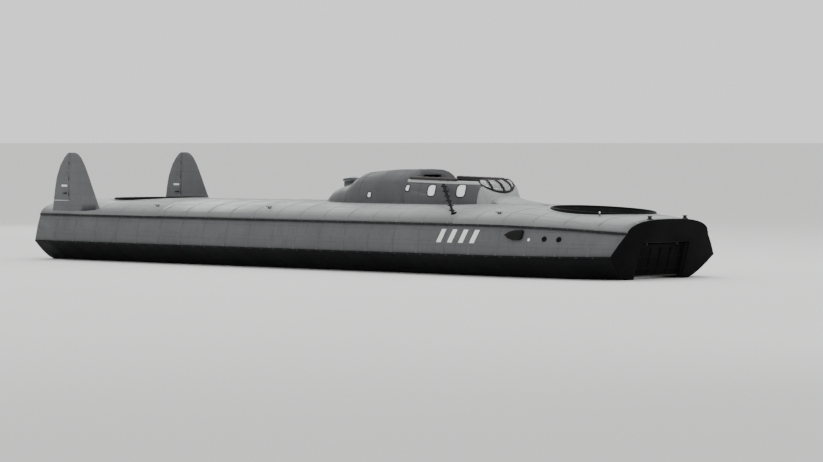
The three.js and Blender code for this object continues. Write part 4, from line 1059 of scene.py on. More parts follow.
def model_cylinder(cylinder_z):
    """One air-cooled cylinder lying along +X, with its fins, head, rocker boxes and rods."""
    profile = [(0.0, 0.3), (0.085, 0.3), (0.085, 0.345), (0.068, 0.35)]
    fins = bpy.context.scene.boat_engine.fins
    first, last = 0.36, 0.6
    for i in range(fins):
        at = first + (last - first) * i / fins
        reach = 0.084 + 0.008 * min(1.0, i / 5)
        profile += [(0.068, at), (reach, at + 0.002), (reach, at + 0.006), (0.068, at + 0.008)]
    profile += [(0.075, 0.602), (0.09, 0.612), (0.088, 0.655), (0.06, 0.682), (0.0, 0.686)]
    metal = [turned("barrel", profile, (0, 0, cylinder_z), (1, 0, 0), 20)]
    rods = []
    for sign in (-1, 1):
        metal.append(block("rocker_box", (0.618, sign * 0.045 - 0.022, cylinder_z + 0.045),
                           (0.682, sign * 0.045 + 0.022, cylinder_z + 0.1), 0.009, 3))
        metal.append(bar("plug", (0.645, sign * 0.08, cylinder_z - 0.02),
                         (0.65, sign * 0.118, cylinder_z - 0.028), 0.011, sides=8))
        rods.append(bar("rod", (0.3, sign * 0.055, cylinder_z + 0.098),
                        (0.635, sign * 0.045, cylinder_z + 0.098), 0.009, sides=8))
        rods.append(pipe("lead", [(0.649, sign * 0.112, cylinder_z - 0.027),
                                  (0.62, sign * 0.128, cylinder_z - 0.05),
                                  (0.5, sign * 0.118, cylinder_z - 0.09),
                                  (0.352, sign * 0.1, cylinder_z - 0.1)], 0.0045, 8))
    return joined("cylinders", metal), joined("rods", rods)


def model_engine(name):
    """A nine-cylinder radial with an upright shaft, standing on six legs in the throat."""
    x, fan_z = WELLS[name]["x"], WELLS[name]["fan_z"]
    cylinder_z, top, leg_z = fan_z - 0.33, fan_z - 0.096, 1.05
    axis, centre = (0, 0, 1), (x, 0, 0)
    parts = [turned("case", engine_profile(cylinder_z, top, leg_z), centre, steps=40)]
    for radius, z, count, size in ((0.315, cylinder_z + 0.112, 18, 0.009),
                                   (0.2, top - 0.118, 12, 0.008)):
        parts.append(rivets("case_bolts", ring_of((x, 0, z), axis, radius, count), size))
    magneto = block("magneto", (x + 0.11, -0.05, top - 0.1), (x + 0.2, 0.05, top - 0.02), 0.012, 3)
    parts.append(round_and_round("magnetos", magneto, 2, centre))
    cylinders, rods = model_cylinder(cylinder_z)
    for piece in (cylinders, rods):
        piece.data.transform(Matrix.Translation(centre))
    parts.append(round_and_round("barrels", cylinders, CYLINDERS, centre))
    kept(joined(f"engine_dressed_{name}", parts), "engine_metal", "Engine metal",
         replaces=[f"engine_{name}"])
    gear = round_and_round(f"engine_rods_{name}", rods, CYLINDERS, centre)
    kept(gear, "engine_metal", "Bright steel")
    bend = [(0.6, 0.03, cylinder_z - 0.07), (0.61, 0.04, cylinder_z - 0.13),
            (0.59, 0.07, cylinder_z - 0.18), (0.54, 0.1, cylinder_z - 0.2)]
    pipes = []
    for i in range(CYLINDERS):
        turn = Matrix.Translation(centre) @ Matrix.Rotation(2 * math.pi * i / CYLINDERS, 4, "Z")
        pipes.append(pipe("stub", [turn @ Vector(point) for point in bend], 0.024, 12))
    pipes.append(torus("collector", 0.55, 0.042, (x, 0, cylinder_z - 0.205), 72, 14))
    fitted(f"engine_exhaust_{name}", pipes, "engine_metal", "Burnt steel")
    leg = block("leg", (x + 0.24, -0.026, leg_z - 0.045), (x + 1.205, 0.026, leg_z + 0.045), 0.006)
    with editing(leg):
        pick(leg, "faces", lambda face: abs(face.normal.y) > 0.9 and face.calc_area() > 0.02)
        bpy.ops.mesh.inset(thickness=0.018, depth=-0.012)
    pad = block("pad", (x + 1.15, -0.07, leg_z - 0.07), (x + 1.199, 0.07, leg_z + 0.07), 0.006)
    web = plate("web", [(x + 0.27, -0.006, leg_z + 0.04), (x + 0.42, -0.006, leg_z + 0.04),
                        (x + 0.27, -0.006, leg_z + 0.11)], (0, 0.012, 0))
    legs = round_and_round(f"engine_legs_{name}", joined("leg", [leg, pad, web]), 6, centre,
                           first=math.pi / 6)
    kept(legs, "engine_metal", "Trim paint")


BLADE_TIP_R = 1.2
BLADE = [
    # distance from the axis, chord, thickness and twist in degrees
    (0.13, 0.1, 0.085, 62), (0.22, 0.12, 0.075, 56), (0.38, 0.185, 0.048, 45),
    (0.55, 0.222, 0.038, 37), (0.72, 0.235, 0.032, 30), (0.9, 0.23, 0.027, 26),
    (1.06, 0.214, 0.022, 22), (1.2, 0.175, 0.018, 19.5), (1.29, 0.12, 0.014, 17.5),
    (1.332, 0.055, 0.01, 16),
]


def model_blade(x, z):
    """One airscrew blade drawn out from a ring, section by section."""
    bpy.ops.mesh.primitive_circle_add(vertices=20, radius=0.5, fill_type="NGON",
                                      rotation=(0, math.pi / 2, 0))
    blade = named("blade")
    reach, chord, thick, _ = BLADE[0]
    with editing(blade):
        bpy.ops.transform.resize(value=(1, chord, thick))
        bpy.ops.transform.translate(value=(reach, 0, 0))
        for before, after in zip(BLADE, BLADE[1:]):
            draw_out((after[0] - before[0], 0, 0))
            bpy.ops.transform.resize(value=(1, after[1] / before[1], after[2] / before[2]),
                                     center_override=(after[0], 0, 0))
        face_out()
        mesh = bmesh.from_edit_mesh(blade.data)
        twists = {round(row[0], 3): math.radians(row[3]) for row in BLADE}
        for vertex in mesh.verts:
            angle = twists[round(vertex.co.x, 3)]
            across, height = vertex.co.y, vertex.co.z
            height *= 1.25 if height > 0 else 0.5
            vertex.co.y = across * math.cos(angle) - height * math.sin(angle)
            vertex.co.z = across * math.sin(angle) + height * math.cos(angle)
        bmesh.update_edit_mesh(blade.data)
    modify(blade, "SUBSURF", levels=1, render_levels=1)
    blade.data.transform(Matrix.Translation((x, 0, z)))
    return smooth(blade, 60)


def model_fan(name):
    """Three blades in a spinner, with dark tips and a ring of screws."""
    x, z = WELLS[name]["x"], WELLS[name]["fan_z"]
    body = body_of(f"fan_{name}")
    blades = round_and_round(f"fan_blades_{name}", model_blade(x, z), 3, (x, 0, z),
                             first=math.radians(20))
    kept(blades, "blade_metal", "Blade metal", body=body, replaces=[f"fan_{name}"])
    repaint(blades, lambda face: math.hypot(face.center.x - x, face.center.y) > BLADE_TIP_R,
            "Black enamel")
    spinner = turned("spinner", [
        (0.0, z - 0.09), (0.15, z - 0.09), (0.164, z - 0.08), (0.165, z + 0.03), (0.16, z + 0.06),
        (0.143, z + 0.105), (0.112, z + 0.145), (0.07, z + 0.17), (0.03, z + 0.183),
        (0.0, z + 0.185),
    ], (x, 0, 0), steps=40)
    collar = turned("collar", [(0.165, z - 0.02), (0.169, z - 0.02), (0.169, z - 0.008),
                               (0.165, z - 0.008)], (x, 0, 0), steps=40)
    ways = [turn_about((0, 0, 1), 0.164, i, 18) for i in range(18)]
    screws = [(Vector((x, 0, z + 0.015)) + way, way) for way in ways]
    fitted(f"spinner_{name}", [spinner, collar, rivets("spinner_screws", screws, 0.005)],
           "blade_metal", "Bright steel", body)


def dress_vanes(name):
    """The frame under a well and its three louvre vanes, ribbed and capped."""
    dressed(f"vane_frame_{name}", "hull_paint", "Tunnel paint", 0.003)
    z = VANE_PIVOT_Z
    xs = [WELLS[name]["x"] + way * VANE_PITCH for way in (-1, 0, 1)]
    for number, x in enumerate(xs, 1):
        node = f"vane_{name}_{number}"
        dressed(node, "hull_paint", "Tunnel paint", angle=30)
        rib = block("vane_rib", (x - 0.0255, -0.014, z - 0.17), (x + 0.0255, 0.014, z + 0.17), 0.004)
        parts = row_of(rib, [(0, y, 0) for y in spaced(-1.1, 1.1, 0.44)])
        parts.append(bar("vane_tube", (x, -1.143, z), (x, 1.143, z), 0.031, sides=20))
        fitted(f"vane_ribs_{name}_{number}", parts, "hull_paint", "Tunnel paint", body_of(node))
    cap = [(0.03, 0.0), (0.055, 0.0), (0.055, 0.008), (0.045, 0.012), (0.03, 0.012)]
    caps = [turned("cap", cap, (x, sign * 1.205, z), (0, sign, 0), 20)
            for x in xs for sign in (-1, 1)]
    fitted(f"vane_bearings_{name}", caps, "dark_trim", "Brass")


# Fins and rudders


RIB_ZS = (1.95, 2.22, 2.5, 2.78, 3.04)


def dress_fins():
    """Fins and rudders with ribs, a hinge strip, horns and a white mark."""

    def beside(centre, normal):
        return abs(normal.y) > 0.85 and centre.z > 1.9

    strip_x = RUDDER_HINGE_X + 0.037
    for side, sign in SIDES.items():
        y, fin, rudder = FIN_Y * sign, f"fin_{side}", f"rudder_{side}"
        for node in (fin, rudder):
            dressed(node, "cabin_paint", "Fin paint", angle=30)
        for node in (fin, rudder):
            strips(node.replace("_", "_ribs_"), [node], RIB_ZS, 0.035, beside, 0.003,
                   "cabin_paint", "Fin paint", (0, 0, 1), body_of(node))
        strips(f"hinge_strip_{side}", [fin], [strip_x], 0.03, beside, 0.004, "cabin_paint",
               "Side paint")
        screws, horns, marks, base = [], [], [], []
        for z in spaced(1.9, 3.22, 0.09):
            for way in (-1, 1):
                found = abeam(fin, strip_x, z, way, y, 1)
                if found and abs(found[0].y - y) < 0.1 and abs(found[1].y) > 0.8:
                    screws.append(lifted(found, 0.004))
        kept(rivets(f"fin_screws_{side}", screws, 0.007), "cabin_paint", "Fin paint")
        for way in (-1, 1):
            root, _ = abeam(rudder, -10.72, 2.08, way, y, 1)
            near, far = root.y - 0.004 * way, root.y + 0.14 * way
            corners = [(-10.64, 2.06), (-10.8, 2.06), (-10.8, 2.1), (-10.64, 2.1)]
            arm = [(x, near, z) for x, z in corners]
            horns.append(plate("horn", arm, (0, 0.012 * way, 0), 0.003))
            horns.append(block("horn_arm", (-10.69, min(root.y, far), 2.071),
                               (-10.65, max(root.y, far), 2.089), 0.004))
            horns.append(turned("eye", [(0.008, -0.012), (0.02, -0.012), (0.02, 0.012),
                                        (0.008, 0.012)], (-10.67, far, 2.08), steps=18))
            corners = ((-10.63, 2.28), (-10.92, 2.28), (-10.92, 2.34), (-10.63, 2.34))
            outline = [lifted(abeam(rudder, x, z, way, y, 1), 0.001)[0] for x, z in corners]
            marks.append(plate("mark", outline, (0, 0.003 * way, 0)))
            for x in spaced(-11.2, -9.25, 0.12):
                foot = abeam(fin, x, 1.76, way, y, 1)
                base.append(foot and deck_at(x, foot[0].y + 0.04 * way))
        fitted(f"rudder_horn_{side}", horns, "dark_trim", "Trim paint", body_of(rudder))
        fitted(f"rudder_mark_{side}", marks, "cabin_paint", "White paint", body_of(rudder))
        kept(rivets(f"fin_foot_rivets_{side}", found_all(base), 0.011), "deck_paint", "Deck paint")


# Cabin and cockpit


WINDOWS = [
    # station, half length, middle height, half height
    (1.615, 0.075, 2.16, 0.075), (3.12, 0.075, 2.37, 0.085), (4.09, 0.145, 2.31, 0.155),
    (5.155, 0.135, 2.31, 0.17),
]
CABIN_XS = (-0.3, 0.55, 1.15, 1.95, 2.55)
COCKPIT_XS = (3.6, 4.6, 5.6)
RIM_AFT = (3.0, 2.625)
RIM_FORE = (5.45, 2.57)
SCREEN_FOOT = (5.9, 2.19)
SHELL_JOINT_X = 3.0
NOSE_PAINT_X = 5.6


def shell_of(x):
    return "cabin_shell" if x < SHELL_JOINT_X else "cockpit_shell"


def on_side(x, z, sign):
    """A place on the shell's side, or level with the shell beside it where a hole is cut."""
    for i in range(130):
        for way in (-1, 1):
            found = abeam(shell_of(x), x, z + 0.003 * i * way, sign, far=3)
            if found and found[0].y * sign > 0.3:
                place, normal = found
                y = place.y - normal.z * (z - place.z) / normal.y
                return Vector((x, y, z)), normal
    raise RuntimeError(f"no shell beside {x}, {z}")


def around_window(window, sign, grow, count=28):
    """Points and normals round a window on the shell, a little outside its hole."""
    x, half_long, z, half_high = window

    def round_off(value):
        return math.copysign(abs(value) ** 0.6, value)

    found = []
    for i in range(count):
        angle = 2 * math.pi * i / count
        at_x = x + (half_long + grow) * round_off(math.cos(angle))
        at_z = z + (half_high + grow) * round_off(math.sin(angle))
        if x > SHELL_JOINT_X:
            at_z = min(at_z, rim_height(at_x) - 0.01)
        found.append(on_side(at_x, at_z, sign))
    return found


def fit_windows():
    """A rolled frame, a pane and a row of screws at each window."""
    frames, panes, screws = [], [], []
    for sign in SIDES.values():
        for window in WINDOWS:
            edge = around_window(window, sign, 0.008)
            frames.append(pipe("window_frame", [lifted(found, 0.004)[0] for found in edge], 0.012,
                               closed=True))
            pane = chain("pane", [lifted(found, -0.006)[0] for found in edge])
            with editing(pane):
                bpy.ops.mesh.edge_face_add()
                bpy.ops.mesh.poke()
            modify(pane, "SOLIDIFY", thickness=0.006, offset=0.0)
            panes.append(smooth(pane, 40))
            screws += around_window(window, sign, 0.028, 14)
    fitted("window_frames", frames, "dark_trim", "Trim paint")
    fitted("window_panes", panes, "clear_glass", "Window glass")
    kept(rivets("window_screws", screws, 0.006), "cabin_paint", "Cabin paint")


def dress_cabin():
    """The cabin's and cockpit's shells and the nose, with straps, a band under the rim and rivets."""

    def choose(face):
        centre, normal = face.center, face.normal
        inward = centre.y * normal.y + (centre.z - 1.9) * normal.z
        if inward < -0.02 and abs(normal.x) < 0.9:
            return 1
        return 2 if centre.x > NOSE_PAINT_X else 0

    for node in ("cabin_shell", "cockpit_shell"):
        repaint(dressed(node, "cabin_paint", "Cabin paint", angle=38), choose, "Lining paint",
                "Deck paint")
    dressed("nose_fairing", "deck_paint", "Deck paint", angle=38)

    def outside(centre, normal):
        return centre.y * normal.y + (centre.z - 1.7) * normal.z > 0.05 and centre.z > 1.75

    shell = ("cabin_paint", "Cabin paint")
    strips("cabin_frames", ["cabin_shell"], CABIN_XS, 0.035, outside, 0.003, *shell)
    strips("cockpit_frames", ["cockpit_shell"], COCKPIT_XS, 0.035, outside, 0.003, *shell)
    strips("cabin_joint", ["cockpit_shell"], [3.0205], 0.039, outside, 0.005, *shell)
    strips("nose_frames", ["nose_fairing"], [5.925, 6.4, 6.9], 0.035, outside, 0.003,
           "deck_paint", "Deck paint")
    rise = (RIM_FORE[1] - RIM_AFT[1]) / (RIM_FORE[0] - RIM_AFT[0])
    level = (RIM_AFT[1] - rise * RIM_AFT[0]) / math.hypot(rise, 1)

    def under_rim(centre, normal):
        return outside(centre, normal) and 3.04 < centre.x < NOSE_PAINT_X and abs(normal.x) < 0.9

    strips("rim_band", ["cockpit_shell"], [level - 0.0325], 0.105, under_rim, 0.004,
           "cabin_paint", "Rim paint", (-rise, 0, 1))
    finds = []
    for x in (*CABIN_XS, 3.02, *COCKPIT_XS[:2]):
        for at_x in (x - 0.011, x + 0.011):
            for sign in SIDES.values():
                for z in spaced(1.98, 2.55, 0.06):
                    found = abeam(shell_of(at_x), at_x, z, sign, far=3)
                    if found and abs(found[0].y) > 0.5 and found[1].y * sign > 0.2:
                        finds.append(found)
            if x in CABIN_XS[1:]:
                finds += [touch("cabin_shell", (at_x, y, 4), (0, 0, -1))
                          for y in spaced(-0.8, 0.8, 0.065)]
    places = found_all(finds, 0.003)
    for sign in SIDES.values():
        for x in spaced(-0.2, 5.9, 0.085):
            places += found_all([deck_at(x, sign * (1.27 if 0.6 < x < 5.2 else 1.2))])
    kept(rivets("cabin_rivets", places, 0.0075), *shell)


def line_cabin():
    """Floor boards, the doorway's trim, benches and the ladder to the hatch."""
    foot_z = PIT_FLOOR_Z + 0.02
    plank = block("plank", (0.47, -0.86, PIT_FLOOR_Z + 0.001), (5.53, -0.678, foot_z), 0.003)
    fitted("floor_boards", row_of(plank, [(0, 0.192 * i, 0) for i in range(9)]), "hide", "Boards")
    trim = [block("door_head", (2.94, -0.35, 2.74), (2.952, 0.35, 2.78), 0.004)]
    benches, steps = [], []
    for sign in (-1, 1):
        y = 0.33 * sign
        trim.append(block("door_post", (2.94, y - 0.02, foot_z), (2.952, y + 0.02, 2.76), 0.004))
        y = 0.335 * sign
        trim.append(block("door_sill", (2.962, y - 0.006, foot_z), (3.03, y + 0.006, 2.73), 0.003))
        low_y, high_y = sorted((sign * 0.46, sign * 0.87))
        benches.append(block("bench", (0.6, low_y, 1.52), (2.3, high_y, 1.56), 0.008))
        for x in (0.75, 1.45, 2.15):
            benches.append(block("bench_leg", (x - 0.02, low_y + 0.03, foot_z),
                                 (x + 0.02, high_y - 0.03, 1.525), 0.004))
        y = 0.2 * sign
        steps.append(bar("ladder_side", (0.62, y, foot_z), (0.22, y, 2.28), 0.016))
    for i in range(1, 5):
        x, z = 0.62 - 0.08 * i, foot_z + 0.222 * i
        steps.append(block("tread", (x - 0.05, -0.2, z - 0.01), (x + 0.05, 0.2, z + 0.01), 0.004))
    fitted("door_trim", trim, "dark_trim", "Trim paint")
    fitted("cabin_benches", benches, "cabin_paint", "Lining paint")
    fitted("hatch_ladder", steps, "dark_trim", "Bright steel")


def dress_hatch():
    """The hatch lid with a raised and screwed panel, and a grab handle."""
    body = body_of("hatch_lid")
    top_z, up = 2.628, (0, 0, 1)
    dressed("hatch_lid", "cabin_paint", "Cabin paint", 0.006, 30)
    panel = block("panel", (-0.15, -0.3, 2.612), (0.19, 0.3, top_z), 0.006)
    screws = [((x, y, top_z), up) for x in spaced(-0.13, 0.17, 0.06) for y in (-0.285, 0.285)]
    screws += [((x, y, top_z), up) for x in (-0.135, 0.175) for y in spaced(-0.225, 0.225, 0.0643)]
    fitted("hatch_panel", [panel, rivets("hatch_screws", screws, 0.006)], "cabin_paint",
           "Cabin paint", body)
    half = [(-0.24, 0.12, 2.585), (-0.25, 0.12, 2.63), (-0.25, 0.08, 2.645)]
    points = [(x, -y, z) for x, y, z in half] + half[::-1]
    kept(pipe("hatch_handle", points, 0.009, 12), "dark_trim", "Bright steel", body=body)


def rim_height(x):
    """The height of the cockpit's rim over the shell."""
    (aft_x, aft_z), (fore_x, fore_z), (foot_x, foot_z) = RIM_AFT, RIM_FORE, SCREEN_FOOT
    if x < fore_x:
        return aft_z + (fore_z - aft_z) * (x - aft_x) / (fore_x - aft_x)
    return fore_z + (foot_z - fore_z) * (x - fore_x) / (foot_x - fore_x)


def rim_place(x, sign):
    """A place in the middle of the rim's edge."""
    place, _ = on_side(x, rim_height(x) - 0.012, sign)
    return Vector((x, place.y - 0.02 * sign, rim_height(x)))


TACK_STEP = 6


def clock_way(angle):
    """The way that a clock's hand points at an angle, on a face across the boat."""
    return Vector((0, math.sin(angle), math.cos(angle)))


def pad_coamings():
    """Leather rolls along the cockpit's rim, drawn in at each row of tacks, and a bead below."""
    for side, sign in SIDES.items():
        low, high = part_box(f"cockpit_coaming_{side}")
        xs = spaced(low.x + 0.012, high.x - 0.012, 0.047)
        places = [rim_place(x, sign) + Vector((0, 0, 0.034)) for x in xs]
        bpy.ops.mesh.primitive_circle_add(vertices=14, radius=0.04, fill_type="NGON",
                                          rotation=(0, math.pi / 2, 0))
        roll = named(f"coaming_roll_{side}")
        with editing(roll):
            bpy.ops.transform.translate(value=places[0])
            for i, (before, after) in enumerate(zip(places, places[1:])):
                draw_out(after - before)
                swell = 1.0 + 0.11 * (tack_swell(i + 1) - tack_swell(i))
                # the roll grows from its aft end and narrows at its fore end
                if i == 0:
                    swell *= 1.12
                if i == len(places) - 2:
                    swell *= 0.85
                bpy.ops.transform.resize(value=(1, swell, swell), center_override=after)
            face_out()
        with editing(roll):
            pick(roll, "faces", lambda face: abs(face.normal.x) > 0.9 and len(face.verts) > 6)
            bpy.ops.mesh.inset(thickness=0.012, depth=0.006)
        modify(roll, "SUBSURF", levels=2, render_levels=2)
        kept(smooth(roll, 80), "hide", "Leather", replaces=[f"cockpit_coaming_{side}"])
        ways = [clock_way(lean) for lean in (-0.7, 0.7)]
        tacks = [(place + way * 0.035, way) for place in places[1:-1:TACK_STEP] for way in ways]
        kept(rivets(f"coaming_tacks_{side}", tacks, 0.007), "dark_trim", "Brass")
        below = Vector((0, 0.021 * sign, -0.03))
        edge = [rim_place(x, sign) + below for x in spaced(3.05, 5.0, 0.15)]
        kept(pipe(f"rim_bead_{side}", edge, 0.011), "cabin_paint", "Rim paint")


def tack_swell(index):
    """How far the roll swells: 0 at a tack and 1 midway between two."""
    return math.sin(math.pi * (index % TACK_STEP) / TACK_STEP)


def dress_screen():
    """The screen's frame and glass."""
    dressed("windshield_frame", "cabin_paint", "Trim paint", 0.003, 40)
    dressed("windshield_glass", "clear_glass", "Screen glass", angle=60)


def stand_instrument(place, radius, index):
    """A round dial facing aft: its bezel, its white face, and its ticks and hand."""
    place, aft = Vector(place), (-1, 0, 0)
    bezel = turned("bezel", [(radius * 0.9, 0.0), (radius * 0.9, 0.012), (radius * 0.98, 0.018),
                             (radius * 1.08, 0.014), (radius * 1.12, 0.0)], place, aft, 28)
    face = turned("face", [(0, 0.004), (radius * 0.92, 0.004), (radius * 0.92, 0.0)], place, aft, 28)
    marks = []
    for i in range(10):
        way = clock_way(math.radians(-135 + 30 * i))
        start = place + Vector((-0.0045, 0, 0)) + way * radius * 0.7
        marks.append(bar("tick", start, start + way * radius * 0.16, radius * 0.02, sides=4))
    way = clock_way(math.radians(-60 + 37 * (index % 4)))
    centre = place + Vector((-0.007, 0, 0))
    marks.append(bar("hand", centre - way * radius * 0.15, centre + way * radius * 0.62,
                     radius * 0.035, radius * 0.008, sides=6))
    marks.append(turned("hand_boss", [(0, 0.01), (radius * 0.07, 0.01), (radius * 0.08, 0.004)],
                        place, aft, 12))
    return bezel, face, marks


DIALS = [
    # place across the boat, height and radius
    (0.12, 2.2, 0.05), (0.12, 2.06, 0.05), (-0.02, 2.2, 0.05), (-0.02, 2.06, 0.05),
    (0.3, 2.06, 0.06), (0.45, 2.03, 0.045), (0.6, 2.06, 0.06), (0.74, 2.2, 0.05),
    (-0.2, 2.16, 0.075), (-0.42, 2.16, 0.075), (-0.62, 2.18, 0.05), (-0.62, 2.06, 0.05),
]


def dress_dashboard():
    """The instrument panel: dials, switches, throttles, pedals and the panel's posts."""
    dressed("dashboard", "cabin_paint", "Lining paint", 0.005, 35)
    x = 5.48
    bezels, faces, marks = [], [], []
    for i, (y, z, radius) in enumerate(DIALS):
        bezel, face, lines = stand_instrument((x, y, z), radius, i)
        bezels.append(bezel)
        faces.append(face)
        marks += lines
    for i in range(6):
        y = -0.36 + 0.045 * i
        bezels.append(turned("switch_base", [(0.0, 0.006), (0.013, 0.006), (0.015, 0.0)],
                             (x, y, 2.03), (-1, 0, 0), 16))
        marks.append(bar("switch", (x, y, 2.03), (x - 0.026, y, 2.042 if i % 2 else 2.018), 0.004,
                         0.006, sides=8))
    fitted("dial_bezels", bezels, "dark_trim", "Brass")
    fitted("dial_faces", faces, "clear_glass", "Dial white")
    fitted("dial_marks", marks, "dark_trim", "Black enamel")
    levers, knobs = [block("quadrant", (5.3, 0.02, 1.94), (5.46, 0.1, 2.0), 0.01, 3)], []
    for i, lean in enumerate((-0.05, 0.02, 0.06, -0.02)):
        y = 0.033 + 0.018 * i
        head = Vector((5.38 + lean, y, 2.16))
        levers.append(bar("lever", (5.38, y, 1.99), head, 0.005, sides=8))
        bpy.ops.mesh.primitive_uv_sphere_add(segments=16, ring_count=10, radius=0.014, location=head)
        knobs.append(smooth(named("knob"), 60))
    fitted("throttles", levers, "dark_trim", "Bright steel")
    fitted("throttle_knobs", knobs, "black_rubber", "Rubber")
    pedals = [bar("pedal_bar", (5.5, 0.2, 1.2), (5.5, 0.64, 1.2), 0.014, sides=12)]
    for y in (0.3, 0.54):
        pedals.append(block("pedal", (5.28, y - 0.05, 1.3), (5.3, y + 0.05, 1.42), 0.006))
        pedals.append(bar("pedal_arm", (5.3, y, 1.36), (5.5, y, 1.2), 0.012, sides=10))
    fitted("pedals", pedals, "dark_trim", "Engine metal")
    post = block("panel_post", (5.49, -0.02, 1.17), (5.53, 0.02, 1.99), 0.006)
    fitted("panel_posts", row_of(post, [(0, -0.8, 0), (0, 0.8, 0)]), "cabin_paint", "Lining paint")


def model_helm():
    """The steering wheel: a gripped rim, three spokes, a hub and its shaft."""
    turn = Matrix.Translation((5.24, 0.42, 2.25)) @ Matrix.Rotation(math.radians(12), 4, "Y")
    body = body_of("steering_wheel")
    radius = 0.185
    ways = [clock_way(2 * math.pi * i / 30) for i in range(30)]
    grips = [(way * radius + Vector((-0.0125, 0, 0)), (-1, 0, 0)) for way in ways]
    rim = joined("helm_rim", [
        torus("wheel_rim", radius, 0.0135, steps=60, turn=(0, math.pi / 2, 0)),
        rivets("wheel_grips", grips, 0.0045)])
    rim.data.transform(turn)
    kept(rim, "black_rubber", "Rubber", body=body, replaces=["steering_wheel"])
    metal = [bar("spoke", way * 0.02, way * 0.178, 0.011, 0.008, sides=12) for way in ways[::10]]
    hub = [(0, -0.03), (0.03, -0.028), (0.042, -0.015), (0.045, 0.0), (0.042, 0.022),
           (0.025, 0.026), (0, 0.026)]
    metal.append(turned("hub", hub, (0, 0, 0), (1, 0, 0), 28))
    metal.append(bar("shaft", (0, 0, 0), (0.252, 0, 0), 0.0175))
    wheel = joined("helm_spokes", metal)
    wheel.data.transform(turn)
    kept(wheel, "dark_trim", "Bright steel", body=body)


# Seats


SEAT_X = 4.56
SEAT_TOP_Z = 1.84
CLOTH_FRAMES = 20
CLOTH_CAP = 0.022


def simulated(cushion):
    """Swells a cushion as stuffed cloth, no point moving further than CLOTH_CAP."""
    modify(cushion, "REMESH", mode="VOXEL", voxel_size=0.006, use_smooth_shade=True)
    start = [vertex.co.copy() for vertex in cushion.data.vertices]
    only(cushion)
    modifier = cushion.modifiers.new("cloth", "CLOTH")
    cloth = modifier.settings
    cloth.quality = 4
    cloth.mass = 0.3
    cloth.tension_stiffness = cloth.compression_stiffness = 12
    cloth.bending_stiffness = 2
    cloth.use_pressure = True
    cloth.uniform_pressure_force = 4.0
    cloth.effector_weights.gravity = 0
    modifier.point_cache.frame_start = 1
    modifier.point_cache.frame_end = CLOTH_FRAMES
    scene = bpy.context.scene
    for number in range(1, CLOTH_FRAMES + 1):
        scene.frame_set(number)
    bpy.ops.object.modifier_apply(modifier=modifier.name)
    scene.frame_set(1)
    for vertex, before in zip(cushion.data.vertices, start):
        step = vertex.co - before
        if step.length > CLOTH_CAP:
            vertex.co = before + step.normalized() * CLOTH_CAP
    modify(cushion, "SUBSURF", levels=1, render_levels=1)
    smooth(cushion, 80)


def cushion_form(name, low, high, crown=0.03):
    """A cushion's closed form: a crowned top, rounded edges and sides that pull in."""
    low, high = Vector(low), Vector(high)
    cushion = block(name, low, high, 0)
    with editing(cushion):
        bpy.ops.mesh.subdivide(number_cuts=7)
        mesh = bmesh.from_edit_mesh(cushion.data)
        middle, half = (low + high) / 2, (high - low) / 2
        for vertex in mesh.verts:
            u = (vertex.co.x - middle.x) / half.x
            v = (vertex.co.y - middle.y) / half.y
            bulge = (1 - u * u) * (1 - v * v)
            if vertex.co.z > middle.z:
                vertex.co.z += crown * (bulge - 0.5)
            pull = 0.035 * (1 - abs((vertex.co.z - middle.z) / half.z))
            vertex.co.x -= math.copysign(pull * half.x, u) * (abs(u) > 0.99) * (1 - v * v)
            vertex.co.y -= math.copysign(pull * half.y, v) * (abs(v) > 0.99) * (1 - u * u)
        bmesh.update_edit_mesh(cushion.data)
    return cushion


def channels(cushion, along, places, depth=0.009, width=0.012):
    """Presses sewn channels into a cushion's top across one axis."""
    tops = [vertex for vertex in cushion.data.vertices if vertex.normal.z > 0.2]
    for vertex in tops:
        vertex.co.z -= sum(depth * math.exp(-((vertex.co[along] - place) / width) ** 2)
                           for place in places)


